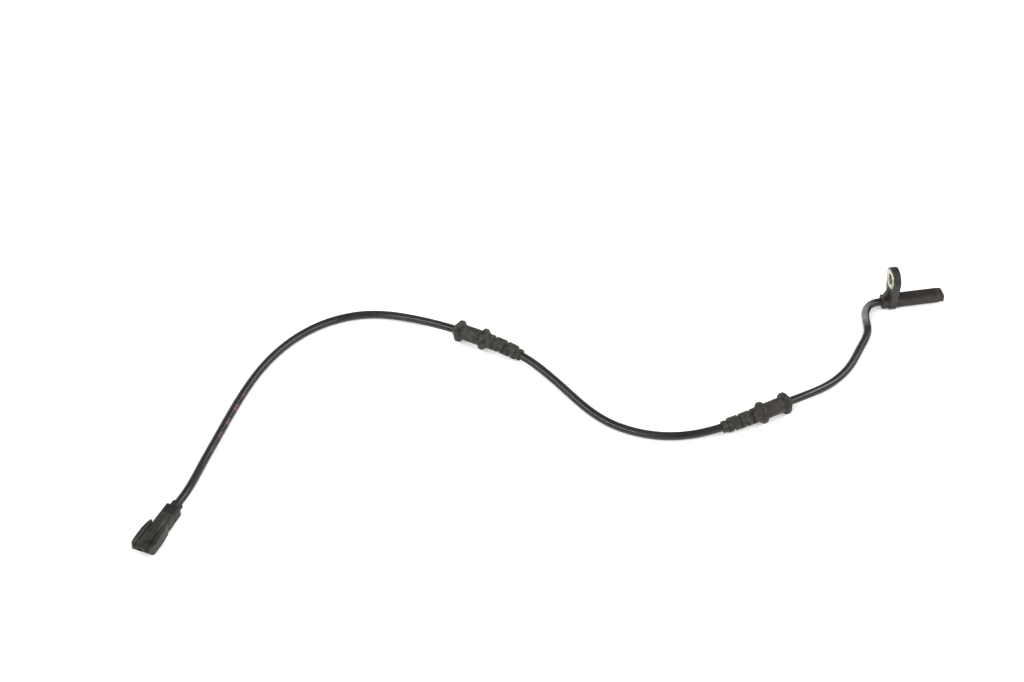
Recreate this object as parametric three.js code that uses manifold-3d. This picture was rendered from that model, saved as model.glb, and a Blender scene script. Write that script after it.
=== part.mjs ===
// ABS wheel speed sensor: a moulded head with a bolt ear and a bar-shaped probe, a lead with two clip-in
// rubber grommets, and a sealed two-way plug. Millimetres, +Z up, lying as it comes to rest on a bench.
// The origin is under the middle of the head, on the bench. +X runs along the probe to its sensing tip.
import * as THREE from 'three';
import { mergeVertices } from 'three/addons/utils/BufferGeometryUtils.js';
import Module from 'manifold-3d';

const wasm = await Module();
wasm.setup();

// Clearances
const SEAT_GAP = 0.3; // between two pieces that seat in or on each other
const BENCH_GAP = 0.15; // under a cable that lies on the bench

// Head: moulded body
const CABLE_EXIT_X = -20.15; // rear face of the head, where the cable leaves it
const HEAD_AXIS_HEIGHT = 4.6; // probe axis above the foot of the plate
const REAR_LENGTH = 4.4;
const REAR_WIDTH = 7.8;
const REAR_HEIGHT = 7.1;
const REAR_CORNER = 1.5;
const PLATE_THICKNESS = 4.7;
const PLATE_FOOT_WIDTH = 10.4;
const PLATE_FOOT_CORNER = 3.4;
const EAR_RISE = 17.9; // bolt hole above the probe axis
const EAR_RIM = 0.95; // plastic left round the bush
const EDGE_BEVEL = 0.4;
const GUSSET_RISE = 7.5;
const GUSSET_LENGTH = 4;
const GUSSET_WIDTH = 3;

// Head: probe
const PROBE_LENGTH = 31.2;
const PROBE_WIDTH = 7.4;
const PROBE_HEIGHT = 6.9;
const PROBE_CORNER = 1;
const PROBE_WALL = 0.95;
const TIP_LENGTH = 3.6; // the end that is drawn in over the sensing element
const TIP_STEP = 0.2;
const TIP_CHAMFER = 1.5;
const TIP_WALL = 1.5;

// Head: steel bush that takes the bolt load
const BUSH_DIAMETER = 12.7;
const BUSH_BORE = 6.6;
const BUSH_PROUD = 0.2;
const BUSH_CHAMFER = 0.5;
const BUSH_GROOVE_WIDTH = 1.8;
const BUSH_GROOVE_DEPTH = 0.5;

// Head: what the probe holds
const CABLE_GRIP = 6.5; // length of cable inside the head
const CARRIER_SETBACK = 3.5; // from the crimps to the carrier
const ELEMENT_LENGTH = 4.6;
const ELEMENT_WIDTH = 3.4;
const ELEMENT_THICKNESS = 1.1;
const ELEMENT_LEG_LENGTH = 1.6;
const ELEMENT_LEG_WIDTH = 0.5;
const ELEMENT_SETBACK = 0.9; // carrier left in front of the element
const MAGNET_LENGTH = 3.2;
const MAGNET_WIDTH = 2.8;
const MAGNET_THICKNESS = 1.6;

// Conductors and crimps, alike at both ends
const WAY_PITCH = 2.7; // between the two ways
const CORE_DIAMETER = 1.5;
const CONDUCTOR_DIAMETER = 0.6;
const CORE_BARE_LENGTH = 4;
const CRIMP_LENGTH = 4.2;
const CRIMP_STOCK = 0.25; // thickness of the terminal strip
const HEAD_CORE_LENGTH = 4.3; // insulated length out of the cable in the head
const STRIP_WIDTH = 0.8;
const STRIP_DEPTH = 0.7; // top of the carrier down to the middle of the strip
const STRIP_RAMP = 1.2;

// Cable and grommets
const CABLE_DIAMETER = 5;
const GROMMET_DISC_DIAMETER = 13.6;
const GROMMET_DISC_THICKNESS = 2.1;
const GROMMET_DISC_SPACING = 16.4;
const GROMMET_WAIST_DIAMETER = 8.9;
const GROMMET_CONE_LENGTH = 3.4;
const GROMMET_TAIL_DIAMETER = 7.4;
const GROMMET_ROUNDING = 0.4;
const BOOT_LENGTH = 26.4; // from the middle of its disc
const BOOT_ROOT_DIAMETER = 9.4;
const BOOT_END_DIAMETER = 8.8;
const BOOT_TIP_DIAMETER = 7.4;
const BOOT_CORE_DIAMETER = 6.7;
const BOOT_SLOTS = 5; // cut from above and from below by turns
const BOOT_SLOT_WIDTH = 1.9;
const BOOT_SLOT_PITCH = 3.95;
const BOOT_FIRST_SLOT = 7.4; // from the middle of its disc
const BOOT_OVERCUT = 1.2; // how far a slot is cut past the axis
const FIRST_GROMMET_AT = 124.5; // disc nearest the head, along the cable from the head's rear face
const SECOND_GROMMET_AT = 357; // disc nearest the plug

// Plug: rear cover
const NECK_LENGTH = 4;
const NECK_DIAMETER = 7;
const COVER_LENGTH = 7.6;
const COVER_WIDTH = 9.2;
const COVER_HEIGHT = 7.8;
const PLUG_CORNER = 1.6;
const PLUG_CABLE_GRIP = 4.5;

// Plug: housing
const BODY_LENGTH = 8.4;
const BODY_WIDTH = 9.4;
const BODY_HEIGHT = 8;
const SEAL_POCKET_LENGTH = 5.2;
const SEAL_POCKET_WALL = 0.85;
const SHROUD_LENGTH = 23.4; // along its top, to the rim
const SHROUD_WIDTH = 11;
const SHROUD_HEIGHT = 9;
const SHROUD_CORNER = 2.6;
const RIM_SLANT = 7; // foot of the rim behind its top
const SHROUD_WALL = 0.75;
const SHROUD_FLOOR = 6;
const NOSE_WIDTH = 7;
const NOSE_HEIGHT = 5;
const NOSE_CORNER = 0.8;
const NOSE_RECESS = 1; // terminal lock face behind the foot of the rim
const GUARD_BOW = 1.5; // how far the side guards swell past the shroud
const GUARD_SWELL_AT = 10; // from the shoulder to where they are widest
const GUARD_SETBACK = 2.5; // their front behind the shroud's rim
const GUARD_TAPER = 8; // length over which they draw in at the front
const GUARD_RISE = 1;
const GUARD_DROP = 1.2; // lower edge of a guard below the plug's axis
const GUARD_THICKNESS = 1.1;
const GUARD_BEVEL = 0.25;
const LATCH_WIDTH = 5.4;
const LATCH_PAD_WIDTH = 6.8;
const LATCH_PAD_LENGTH = 6;
const LATCH_THICKNESS = 0.6;
const LATCH_GAP = 0.4;
const SCALLOP_RADIUS = 5.5;
const SCALLOP_DEPTH = 1.8;

// Plug: terminals, lock and seals
const SOCKET_LENGTH = 6.4;
const LOCK_THICKNESS = 1.4;
const LOCK_HOLE = 1.2;
const LOCK_TAB_LENGTH = 2.5;
const LOCK_TAB_WIDTH = 2.6;
const LOCK_TAB_THICKNESS = 0.45;
const WIRE_SEAL_LIP = 0.2;
const CORE_RUN = 3; // core between the wire seal's pocket and the crimp
const FRONT_SEAL_LENGTH = 2.6;

// Where the plug lies on the bench
const PLUG_ENTRY = [-467.5, -97.2];
const PLUG_HEADING = THREE.MathUtils.degToRad(-123.5);
const PLUG_LEAD_IN = 10; // straight cable behind the plug

// The lead's way over the bench, chosen by hand: x, y, and how far it is lifted, from lying flat (0) to
// where a grommet's discs carry it (1).
const LAID_POINTS = [
  [-24.2, -0.3, 0.45], [-28, -1.9, 0.4], [-30.9, -4.8, 0.3], [-32.6, -8.5, 0.19],
  [-34.9, -21.3, 0.02], [-44, -36.8, 0], [-55.5, -52.2, 0], [-70.7, -64.7, 0.04],
  [-87.6, -74, 0.62], [-105.6, -81.2, 1], [-121, -86.6, 1], [-140.9, -91.7, 0.71],
  [-160.9, -93.4, 0.22], [-180.8, -90.8, 0], [-195.5, -84.9, 0], [-209.5, -74.4, 0],
  [-220.1, -60.3, 0], [-228.5, -44.2, 0], [-237.8, -26.3, 0.06], [-246.2, -14.2, 0.36],
  [-256.5, -3.8, 0.74], [-271.5, 8.2, 1], [-284.5, 18.2, 1], [-303.8, 33.5, 0.4],
  [-320.8, 43.6, 0.02], [-337.5, 48.1, 0], [-354.8, 47.4, 0], [-371.8, 41.8, 0],
  [-388.8, 30.8, 0], [-404.6, 14.9, 0], [-418.4, -4.9, 0], [-430.5, -26.4, 0],
  [-441.9, -48.4, 0], [-452, -68.3, 0.05],
];

// Facets
const ROUND_SIDES = 24;
const GROMMET_SIDES = 20;
const SMALL_SIDES = 12;
const CABLE_SIDES = 10;
const CORNER_SIDES = 3;
const BOW_SIDES = 8; // along a large curve of an outline
const BEND_STEPS = 20; // short steps in the cable's first bend
const BEND_RUN = 42;
const LAID_STEPS = 58; // long steps over the rest
const BORE_STEPS = 12; // along a grommet's bent bore

// Sizes that follow from the ones above
const PLATE_REAR_X = CABLE_EXIT_X + REAR_LENGTH;
const PLATE_FRONT_X = PLATE_REAR_X + PLATE_THICKNESS;
const TIP_X = PLATE_FRONT_X + PROBE_LENGTH;
const EAR_RADIUS = BUSH_DIAMETER / 2 + SEAT_GAP + EAR_RIM;
const CABLE_HOLE = CABLE_DIAMETER + 2 * SEAT_GAP;
const POCKET_REAR_X = CABLE_EXIT_X + CABLE_GRIP;
const POCKET_FRONT_X = TIP_X - TIP_WALL - TIP_CHAMFER / 2;
const POCKET_WIDTH = PROBE_WIDTH - 2 * PROBE_WALL;
const POCKET_HEIGHT = PROBE_HEIGHT - 2 * PROBE_WALL;
const CARRIER_FRONT_X = POCKET_FRONT_X - SEAT_GAP;
const HEAD_CORE_X = POCKET_REAR_X + SEAT_GAP;
const HEAD_CRIMP_X = HEAD_CORE_X + HEAD_CORE_LENGTH + SEAT_GAP;
const CARRIER_REAR_X = HEAD_CRIMP_X + CRIMP_LENGTH + CARRIER_SETBACK;
const CARRIER_WIDTH = POCKET_WIDTH - 2 * SEAT_GAP;
const CARRIER_TOP = POCKET_HEIGHT / 2 - SEAT_GAP;
const ELEMENT_FRONT_X = CARRIER_FRONT_X - ELEMENT_SETBACK;
const ELEMENT_REAR_X = ELEMENT_FRONT_X - ELEMENT_LENGTH;
const CRIMP_HALF_WIDTH = CONDUCTOR_DIAMETER / 2 + SEAT_GAP + CRIMP_STOCK;
const CHANNEL_HALF = CRIMP_HALF_WIDTH + SEAT_GAP;
const LYING_HEIGHT = CABLE_DIAMETER / 2 + BENCH_GAP;
const CARRIED_HEIGHT = GROMMET_DISC_DIAMETER / 2 + BENCH_GAP / 2;
const PLUG_AXIS_HEIGHT = SHROUD_HEIGHT / 2;
const COVER_FRONT_X = NECK_LENGTH + COVER_LENGTH;
const BODY_REAR_X = COVER_FRONT_X + SEAT_GAP;
const SHROUD_REAR_X = BODY_REAR_X + BODY_LENGTH;
const RIM_X = SHROUD_REAR_X + SHROUD_LENGTH;
const LOCK_FRONT_X = RIM_X - RIM_SLANT - NOSE_RECESS;
const NOSE_FRONT_X = LOCK_FRONT_X - LOCK_THICKNESS - SEAT_GAP;
const SEAL_POCKET_FRONT_X = BODY_REAR_X + SEAL_POCKET_LENGTH;
const SEAL_POCKET_WIDTH = BODY_WIDTH - 2 * SEAL_POCKET_WALL;
const SEAL_POCKET_HEIGHT = BODY_HEIGHT - 2 * SEAL_POCKET_WALL;
const SOCKET_FRONT_X = NOSE_FRONT_X - SEAT_GAP;
const PLUG_CRIMP_X = SEAL_POCKET_FRONT_X + CORE_RUN;

// Materials
const paint = (color, roughness, metalness = 0) =>
  new THREE.MeshStandardMaterial({ color, roughness, metalness });
const HEAD_PLASTIC = paint('#2b2a29', 0.55);
const BUSH_STEEL = paint('#c4b978', 0.35, 0.9);
const CARRIER_PLASTIC = paint('#3a3d40', 0.6);
const ELEMENT_RESIN = paint('#1c1c1e', 0.5);
const MAGNET_FERRITE = paint('#4a4a4d', 0.45, 0.5);
const TERMINAL_BRASS = paint('#c9a45a', 0.3, 1);
const CORE_INSULATION = [paint('#8a1f1b', 0.5), paint('#2f4f8f', 0.5)];
const CABLE_JACKET = paint('#333336', 0.35);
const GROMMET_RUBBER = paint('#3a3b37', 0.85);
const PLUG_PLASTIC = paint('#3b3c3a', 0.5);
const COVER_PLASTIC = paint('#343434', 0.5);
const SEAL_SILICONE = paint('#7d8a96', 0.6);

// How a flat outline, a turned profile and a side view are stood up along X
const basis = (x, y, z) =>
  new THREE.Matrix4().makeBasis(new THREE.Vector3(...x), new THREE.Vector3(...y), new THREE.Vector3(...z));
const ACROSS_X = basis([0, 1, 0], [0, 0, 1], [1, 0, 0]); // outline in y and z, pulled along x
const ROUND_X = basis([0, 0, 1], [1, 0, 0], [0, 1, 0]); // profile in x and radius, turned round x
const SIDE_VIEW = basis([1, 0, 0], [0, 0, 1], [0, -1, 0]); // outline in x and z, pulled along y

// Signed volume of a closed indexed geometry
function volumeOf(geometry) {
  const place = geometry.getAttribute('position');
  const corner = [0, 1, 2].map(() => new THREE.Vector3());
  let sum = 0;
  for (let i = 0; i < geometry.index.count; i += 3) {
    corner.forEach((c, k) => c.fromBufferAttribute(place, geometry.index.getX(i + k)));
    sum += corner[0].dot(corner[1].cross(corner[2]));
  }
  return sum / 6;
}

// A closed geometry as a solid that can be joined and cut, with its faces turned outwards
function solid(geometry) {
  const bare = geometry.clone();
  for (const name of Object.keys(bare.attributes)) {
    if (name !== 'position') bare.deleteAttribute(name);
  }
  const merged = mergeVertices(bare, 1e-4);
  const outwards = volumeOf(merged) > 0;
  const triVerts = [];
  for (let i = 0; i < merged.index.count; i += 3) {
    const [a, b, c] = [0, 1, 2].map((k) => merged.index.getX(i + k));
    if (a !== b && b !== c && c !== a) triVerts.push(a, outwards ? b : c, outwards ? c : b);
  }
  return new wasm.Manifold(new wasm.Mesh({
    numProp: 3,
    vertProperties: new Float32Array(merged.getAttribute('position').array),
    triVerts: new Uint32Array(triVerts),
  }));
}

// A solid's surface as a geometry for a mesh
function surfaceOf(body) {
  const mesh = body.getMesh();
  const geometry = new THREE.BufferGeometry();
  geometry.setAttribute('position', new THREE.BufferAttribute(new Float32Array(mesh.vertProperties), 3));
  geometry.setIndex(new THREE.BufferAttribute(new Uint32Array(mesh.triVerts), 1));
  geometry.computeVertexNormals();
  return geometry;
}

const joined = (parts) => parts.reduce((whole, part) => whole.add(part));

// A rectangle with round corners, centred at (x, y)
function roundedRect(width, height, corner, x = 0, y = 0) {
  const [w, h, r] = [width / 2, height / 2, Math.min(corner, width / 2.01, height / 2.01)];
  const shape = new THREE.Shape();
  shape.moveTo(x + w, y - h + r);
  shape.lineTo(x + w, y + h - r);
  shape.absarc(x + w - r, y + h - r, r, 0, Math.PI / 2);
  shape.absarc(x - w + r, y + h - r, r, Math.PI / 2, Math.PI);
  shape.absarc(x - w + r, y - h + r, r, Math.PI, 1.5 * Math.PI);
  shape.absarc(x + w - r, y - h + r, r, 1.5 * Math.PI, 2 * Math.PI);
  return shape;
}

// An outline pulled from one place to another, with its end edges bevelled
function pulled(shape, from, to, stand, bevel = 0, curveSegments = CORNER_SIDES) {
  const geometry = new THREE.ExtrudeGeometry(shape, {
    depth: to - from - 2 * bevel,
    curveSegments,
    bevelEnabled: bevel > 0,
    bevelThickness: bevel,
    bevelSize: bevel,
    bevelOffset: -bevel,
    bevelSegments: 1,
  });
  return geometry.translate(0, 0, from + bevel).applyMatrix4(stand);
}

const alongX = (shape, from, to, bevel, sides) => solid(pulled(shape, from, to, ACROSS_X, bevel, sides));
const fromSide = (shape, width, y = 0) => solid(pulled(shape, -width / 2 - y, width / 2 - y, SIDE_VIEW));

// A closed outline through the given corners
const outline = (corners) => new THREE.Shape(corners.map(([x, y]) => new THREE.Vector2(x, y)));

// A profile of [x, radius] pairs turned round the x axis, from axis to axis
function turnedX(profile, sides = ROUND_SIDES) {
  const ends = [[profile[0][0], 0], ...profile, [profile.at(-1)[0], 0]];
  const points = ends.map(([x, radius]) => new THREE.Vector2(radius, x));
  return new THREE.LatheGeometry(points, sides).applyMatrix4(ROUND_X);
}

const rod = (diameter, from, to, sides = ROUND_SIDES) =>
  turnedX([[from, diameter / 2], [to, diameter / 2]], sides);

// A box given by its limits on each axis
function block([x0, x1], [y0, y1], [z0, z1]) {
  const box = new THREE.BoxGeometry(x1 - x0, y1 - y0, z1 - z0);
  return box.translate((x0 + x1) / 2, (y0 + y1) / 2, (z0 + z1) / 2);
}

const around = (middle, size) => [middle - size / 2, middle + size / 2];

// A stiff lead's centreline through chosen points: a cubic in each span, with its bend unbroken at the
// points, and a given direction at each end
class LeadCurve extends THREE.Curve {
  constructor(points, startWay, endWay) {
    super();
    this.points = points;
    this.knots = [0];
    for (let i = 1; i < points.length; i++) {
      this.knots.push(this.knots[i - 1] + points[i].distanceTo(points[i - 1]));
    }
    this.slopes = this.solveSlopes(startWay, endWay);
  }

  span(i) {
    return this.knots[i + 1] - this.knots[i];
  }

  // The slopes that keep the bend unbroken, found by one sweep forwards and one back
  solveSlopes(startWay, endWay) {
    const last = this.points.length - 1;
    const share = [0];
    const slopes = [startWay.clone()];
    for (let i = 1; i < last; i++) {
      const [before, after] = [this.span(i - 1), this.span(i)];
      const weight = 2 / before + 2 / after - share[i - 1] / before;
      const pull = this.points[i].clone().sub(this.points[i - 1]).multiplyScalar(3 / before ** 2);
      pull.addScaledVector(this.points[i + 1].clone().sub(this.points[i]), 3 / after ** 2);
      pull.addScaledVector(slopes[i - 1], -1 / before);
      share.push(1 / after / weight);
      slopes.push(pull.divideScalar(weight));
    }
    slopes.push(endWay.clone());
    for (let i = last - 1; i > 0; i--) slopes[i].addScaledVector(slopes[i + 1], -share[i]);
    return slopes;
  }

  getPoint(t) {
    const along = THREE.MathUtils.clamp(t, 0, 1) * this.knots.at(-1);
    const next = this.knots.findIndex((knot, i) => i > 0 && knot >= along);
    const i = (next < 0 ? this.knots.length - 1 : next) - 1;
    const span = this.span(i);
    const u = (along - this.knots[i]) / span;
    return new THREE.Vector3()
      .addScaledVector(this.points[i], (1 + 2 * u) * (1 - u) ** 2)
      .addScaledVector(this.slopes[i], span * u * (1 - u) ** 2)
      .addScaledVector(this.points[i + 1], u * u * (3 - 2 * u))
      .addScaledVector(this.slopes[i + 1], span * u * u * (u - 1));
  }
}

// The cable's route, from its end inside the head to its end inside the plug
function cableRoute() {
  const plugAxis = new THREE.Vector3(Math.cos(PLUG_HEADING), Math.sin(PLUG_HEADING), 0);
  const entry = new THREE.Vector3(...PLUG_ENTRY, PLUG_AXIS_HEIGHT);
  const onPlugAxis = (distance) => entry.clone().addScaledVector(plugAxis, distance);
  const lift = CARRIED_HEIGHT - LYING_HEIGHT;
  const points = [
    new THREE.Vector3(CABLE_EXIT_X + CABLE_GRIP, 0, HEAD_AXIS_HEIGHT),
    new THREE.Vector3(CABLE_EXIT_X, 0, HEAD_AXIS_HEIGHT),
    ...LAID_POINTS.map(([x, y, share]) => new THREE.Vector3(x, y, LYING_HEIGHT + lift * share)),
    onPlugAxis(-PLUG_LEAD_IN),
    onPlugAxis(0),
    onPlugAxis(PLUG_CABLE_GRIP),
  ];
  return new LeadCurve(points, new THREE.Vector3(-1, 0, 0), plugAxis);
}

const route = cableRoute();
route.arcLengthDivisions = 3000;
const ROUTE_LENGTH = route.getLength();

// The route as the cable's mesh follows it: short steps in the first bend, long ones after it
class CableRun extends THREE.Curve {
  distanceAt(share) {
    const step = share * (BEND_STEPS + LAID_STEPS);
    const run = CABLE_GRIP + BEND_RUN;
    if (step <= BEND_STEPS) return (run * step) / BEND_STEPS;
    return run + ((ROUTE_LENGTH - run) * (step - BEND_STEPS)) / LAID_STEPS;
  }

  getPoint(share) {
    return route.getPointAt(Math.min(this.distanceAt(share) / ROUTE_LENGTH, 1));
  }

  getTangent(share) {
    return route.getTangentAt(Math.min(this.distanceAt(share) / ROUTE_LENGTH, 1));
  }

  getPointAt(share) {
    return this.getPoint(share);
  }

  getTangentAt(share) {
    return this.getTangent(share);
  }
}

// Bends a geometry that is drawn along x, so that its x runs along the cable from a place on it.
// facing is 1 where its +x end faces the plug, and -1 where that end faces the head.
function laidOnCable(geometry, fromHead, facing) {
  const bent = geometry.clone();
  const place = bent.getAttribute('position');
  const point = new THREE.Vector3();
  for (let i = 0; i < place.count; i++) {
    point.fromBufferAttribute(place, i);
    const share = (CABLE_GRIP + fromHead + facing * point.x) / ROUTE_LENGTH;
    const tangent = route.getTangentAt(share);
    const left = new THREE.Vector3(0, 0, 1).cross(tangent).normalize();
    const up = tangent.clone().cross(left);
    const centre = route.getPointAt(share);
    centre.addScaledVector(left, facing * point.y).addScaledVector(up, point.z);
    place.setXYZ(i, centre.x, centre.y, centre.z);
  }
  return bent;
}

// Mounting plate seen along the probe: a round ear over a narrower foot, with tangent flanks
function plateOutline() {
  const [half, corner] = [PLATE_FOOT_WIDTH / 2, PLATE_FOOT_CORNER];
  const shoulder = -HEAD_AXIS_HEIGHT + PROBE_HEIGHT;
  const reach = Math.hypot(half, EAR_RISE - shoulder);
  const touch = Math.atan2(shoulder - EAR_RISE, half) + Math.acos(EAR_RADIUS / reach);
  const shape = new THREE.Shape();
  shape.moveTo(-half + corner, -HEAD_AXIS_HEIGHT);
  shape.lineTo(half - corner, -HEAD_AXIS_HEIGHT);
  shape.absarc(half - corner, -HEAD_AXIS_HEIGHT + corner, corner, -Math.PI / 2, 0);
  shape.lineTo(half, shoulder);
  shape.absarc(0, EAR_RISE, EAR_RADIUS, touch, Math.PI - touch);
  shape.lineTo(-half, shoulder);
  shape.absarc(-half + corner, -HEAD_AXIS_HEIGHT + corner, corner, Math.PI, 1.5 * Math.PI);
  return shape;
}

// Half section of the bush, or of the space it needs when room is added all round
function bushProfile(room) {
  const end = PLATE_THICKNESS / 2 + BUSH_PROUD + room;
  const outer = BUSH_DIAMETER / 2 + room;
  const groove = BUSH_GROOVE_WIDTH / 2 - room / 2;
  const floor = outer - BUSH_GROOVE_DEPTH;
  return [
    [-end, outer], [-groove - BUSH_GROOVE_DEPTH, outer], [-groove, floor],
    [groove, floor], [groove + BUSH_GROOVE_DEPTH, outer], [end, outer],
  ];
}

const earPlace = (geometry) => geometry.translate((PLATE_REAR_X + PLATE_FRONT_X) / 2, 0, EAR_RISE);

function headHousing() {
  const overlap = PLATE_THICKNESS / 2;
  const probeSection = roundedRect(PROBE_WIDTH, PROBE_HEIGHT, PROBE_CORNER);
  const tipSection = roundedRect(
    PROBE_WIDTH - 2 * TIP_STEP, PROBE_HEIGHT - 2 * TIP_STEP, PROBE_CORNER - TIP_STEP,
  );
  const rearSection = roundedRect(REAR_WIDTH, REAR_HEIGHT, REAR_CORNER);
  const probeTop = PROBE_HEIGHT / 2;
  const rearTop = REAR_HEIGHT / 2;
  const body = joined([
    alongX(plateOutline(), PLATE_REAR_X, PLATE_FRONT_X, EDGE_BEVEL, BOW_SIDES),
    alongX(rearSection, CABLE_EXIT_X, PLATE_REAR_X + overlap, EDGE_BEVEL),
    alongX(probeSection, PLATE_FRONT_X - overlap, TIP_X - TIP_LENGTH),
    alongX(tipSection, TIP_X - 2 * TIP_LENGTH, TIP_X, EDGE_BEVEL),
    fromSide(
      outline([
        [PLATE_REAR_X - GUSSET_LENGTH, rearTop - overlap], [PLATE_REAR_X + overlap, rearTop - overlap],
        [PLATE_REAR_X + overlap, rearTop + GUSSET_RISE], [PLATE_REAR_X, rearTop + GUSSET_RISE],
        [PLATE_REAR_X - GUSSET_LENGTH, rearTop],
      ]),
      GUSSET_WIDTH,
    ),
  ]);
  const chamfer = fromSide(
    outline([
      [TIP_X - TIP_CHAMFER, probeTop], [TIP_X + TIP_CHAMFER, probeTop - 2 * TIP_CHAMFER],
      [TIP_X + TIP_CHAMFER, probeTop + TIP_CHAMFER], [TIP_X - TIP_CHAMFER, probeTop + TIP_CHAMFER],
    ]),
    2 * PROBE_WIDTH,
  );
  return body
    .subtract(chamfer)
    .subtract(solid(earPlace(turnedX(bushProfile(SEAT_GAP)))))
    .subtract(solid(rod(CABLE_HOLE, CABLE_EXIT_X - 1, POCKET_REAR_X + 1)))
    .subtract(alongX(roundedRect(POCKET_WIDTH, POCKET_HEIGHT, SEAT_GAP), POCKET_REAR_X, POCKET_FRONT_X));
}

function earBush() {
  const end = PLATE_THICKNESS / 2 + BUSH_PROUD;
  const bore = BUSH_BORE / 2;
  const hole = turnedX([
    [-end - 1, bore + BUSH_CHAMFER + 1], [-end + BUSH_CHAMFER, bore],
    [end - BUSH_CHAMFER, bore], [end + 1, bore + BUSH_CHAMFER + 1],
  ]);
  return solid(earPlace(turnedX(bushProfile(0)))).subtract(solid(earPlace(hole)));
}

// Sled inside the probe: element bed on top, magnet bed below, a groove for each terminal
function elementCarrier() {
  const sled = alongX(
    roundedRect(CARRIER_WIDTH, 2 * CARRIER_TOP, SEAT_GAP), CARRIER_REAR_X, CARRIER_FRONT_X,
  );
  const elementBed = block(
    [ELEMENT_REAR_X - SEAT_GAP, ELEMENT_FRONT_X + SEAT_GAP],
    around(0, ELEMENT_WIDTH + 2 * SEAT_GAP),
    [CARRIER_TOP - ELEMENT_THICKNESS - SEAT_GAP, CARRIER_TOP + 1],
  );
  const magnetBed = block(
    [ELEMENT_FRONT_X - MAGNET_LENGTH - SEAT_GAP, ELEMENT_FRONT_X + SEAT_GAP],
    around(0, MAGNET_WIDTH + 2 * SEAT_GAP),
    [-CARRIER_TOP - 1, -CARRIER_TOP + MAGNET_THICKNESS + SEAT_GAP],
  );
  const grooves = [-1, 1].map((side) => block(
    [CARRIER_REAR_X - 1, ELEMENT_REAR_X],
    around((side * WAY_PITCH) / 2, STRIP_WIDTH + 2 * SEAT_GAP),
    [CARRIER_TOP - STRIP_DEPTH - CRIMP_STOCK / 2 - SEAT_GAP, CARRIER_TOP + 1],
  ));
  return [elementBed, magnetBed, ...grooves].reduce((left, cut) => left.subtract(solid(cut)), sled);
}

function sensingElement() {
  const middle = CARRIER_TOP - STRIP_DEPTH;
  const casing = alongX(
    roundedRect(ELEMENT_WIDTH, ELEMENT_THICKNESS, SEAT_GAP, 0, CARRIER_TOP - ELEMENT_THICKNESS / 2),
    ELEMENT_REAR_X, ELEMENT_FRONT_X,
  );
  const legs = [-1, 1].map((side) => solid(block(
    [ELEMENT_REAR_X - ELEMENT_LEG_LENGTH, ELEMENT_REAR_X + 1],
    around((side * WAY_PITCH) / 2, ELEMENT_LEG_WIDTH),
    around(middle, CRIMP_STOCK),
  )));
  return joined([casing, ...legs]);
}

function biasMagnet() {
  return solid(block(
    [ELEMENT_FRONT_X - MAGNET_LENGTH, ELEMENT_FRONT_X],
    around(0, MAGNET_WIDTH),
    [-CARRIER_TOP, -CARRIER_TOP + MAGNET_THICKNESS],
  ));
}

// Open crimp round a bared conductor: a folded floor with a wall on each side
function crimp(from, y) {
  const floor = -CRIMP_HALF_WIDTH;
  const walls = [-1, 1].map((side) => solid(block(
    [from, from + CRIMP_LENGTH],
    around(y + side * (CRIMP_HALF_WIDTH - CRIMP_STOCK / 2), CRIMP_STOCK),
    [floor, CONDUCTOR_DIAMETER],
  )));
  const sole = solid(block(
    [from, from + CRIMP_LENGTH], around(y, 2 * CRIMP_HALF_WIDTH), [floor, floor + CRIMP_STOCK],
  ));
  return joined([sole, ...walls]);
}

// Insulated core with its end bared for the crimp
function core(from, insulated, y) {
  const bareFrom = from + insulated;
  return solid(turnedX([
    [from, CORE_DIAMETER / 2], [bareFrom, CORE_DIAMETER / 2],
    [bareFrom, CONDUCTOR_DIAMETER / 2], [bareFrom + CORE_BARE_LENGTH, CONDUCTOR_DIAMETER / 2],
  ], SMALL_SIDES).translate(0, y, 0));
}

// Lead frame of one way: crimp behind the carrier, then a strip that ramps up into its groove
function headTerminal(y) {
  const crimpEnd = HEAD_CRIMP_X + CRIMP_LENGTH;
  const [low, high] = [-CRIMP_HALF_WIDTH, CARRIER_TOP - STRIP_DEPTH - CRIMP_STOCK / 2];
  const end = ELEMENT_REAR_X - ELEMENT_LEG_LENGTH - SEAT_GAP;
  const strip = outline([
    [crimpEnd - 1, low], [crimpEnd + CRIMP_STOCK, low], [crimpEnd + STRIP_RAMP, high], [end, high],
    [end, high + CRIMP_STOCK], [crimpEnd + STRIP_RAMP - CRIMP_STOCK, high + CRIMP_STOCK],
    [crimpEnd, low + CRIMP_STOCK], [crimpEnd - 1, low + CRIMP_STOCK],
  ]);
  return crimp(HEAD_CRIMP_X, y).add(fromSide(strip, STRIP_WIDTH, y));
}

function cable() {
  const section = new THREE.Shape().absarc(0, 0, CABLE_DIAMETER / 2, 0, 2 * Math.PI);
  return solid(new THREE.ExtrudeGeometry(section, {
    steps: BEND_STEPS + LAID_STEPS,
    curveSegments: CABLE_SIDES / 2,
    extrudePath: new CableRun(),
  }));
}

// One clip-in disc: rounded rim, a flat face to the waist and a cone outwards, as [x, radius] from its middle
function discProfile(coneDiameter) {
  const [half, rim, soft] = [GROMMET_DISC_THICKNESS / 2, GROMMET_DISC_DIAMETER / 2, GROMMET_ROUNDING];
  return [
    [half, GROMMET_WAIST_DIAMETER / 2], [half, rim - 2 * soft], [half - soft, rim - soft / 2], [0, rim],
    [soft - half, rim], [-half, rim - soft], [-half - soft, rim - 2 * soft],
    [-GROMMET_CONE_LENGTH, coneDiameter / 2],
  ];
}

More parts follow.
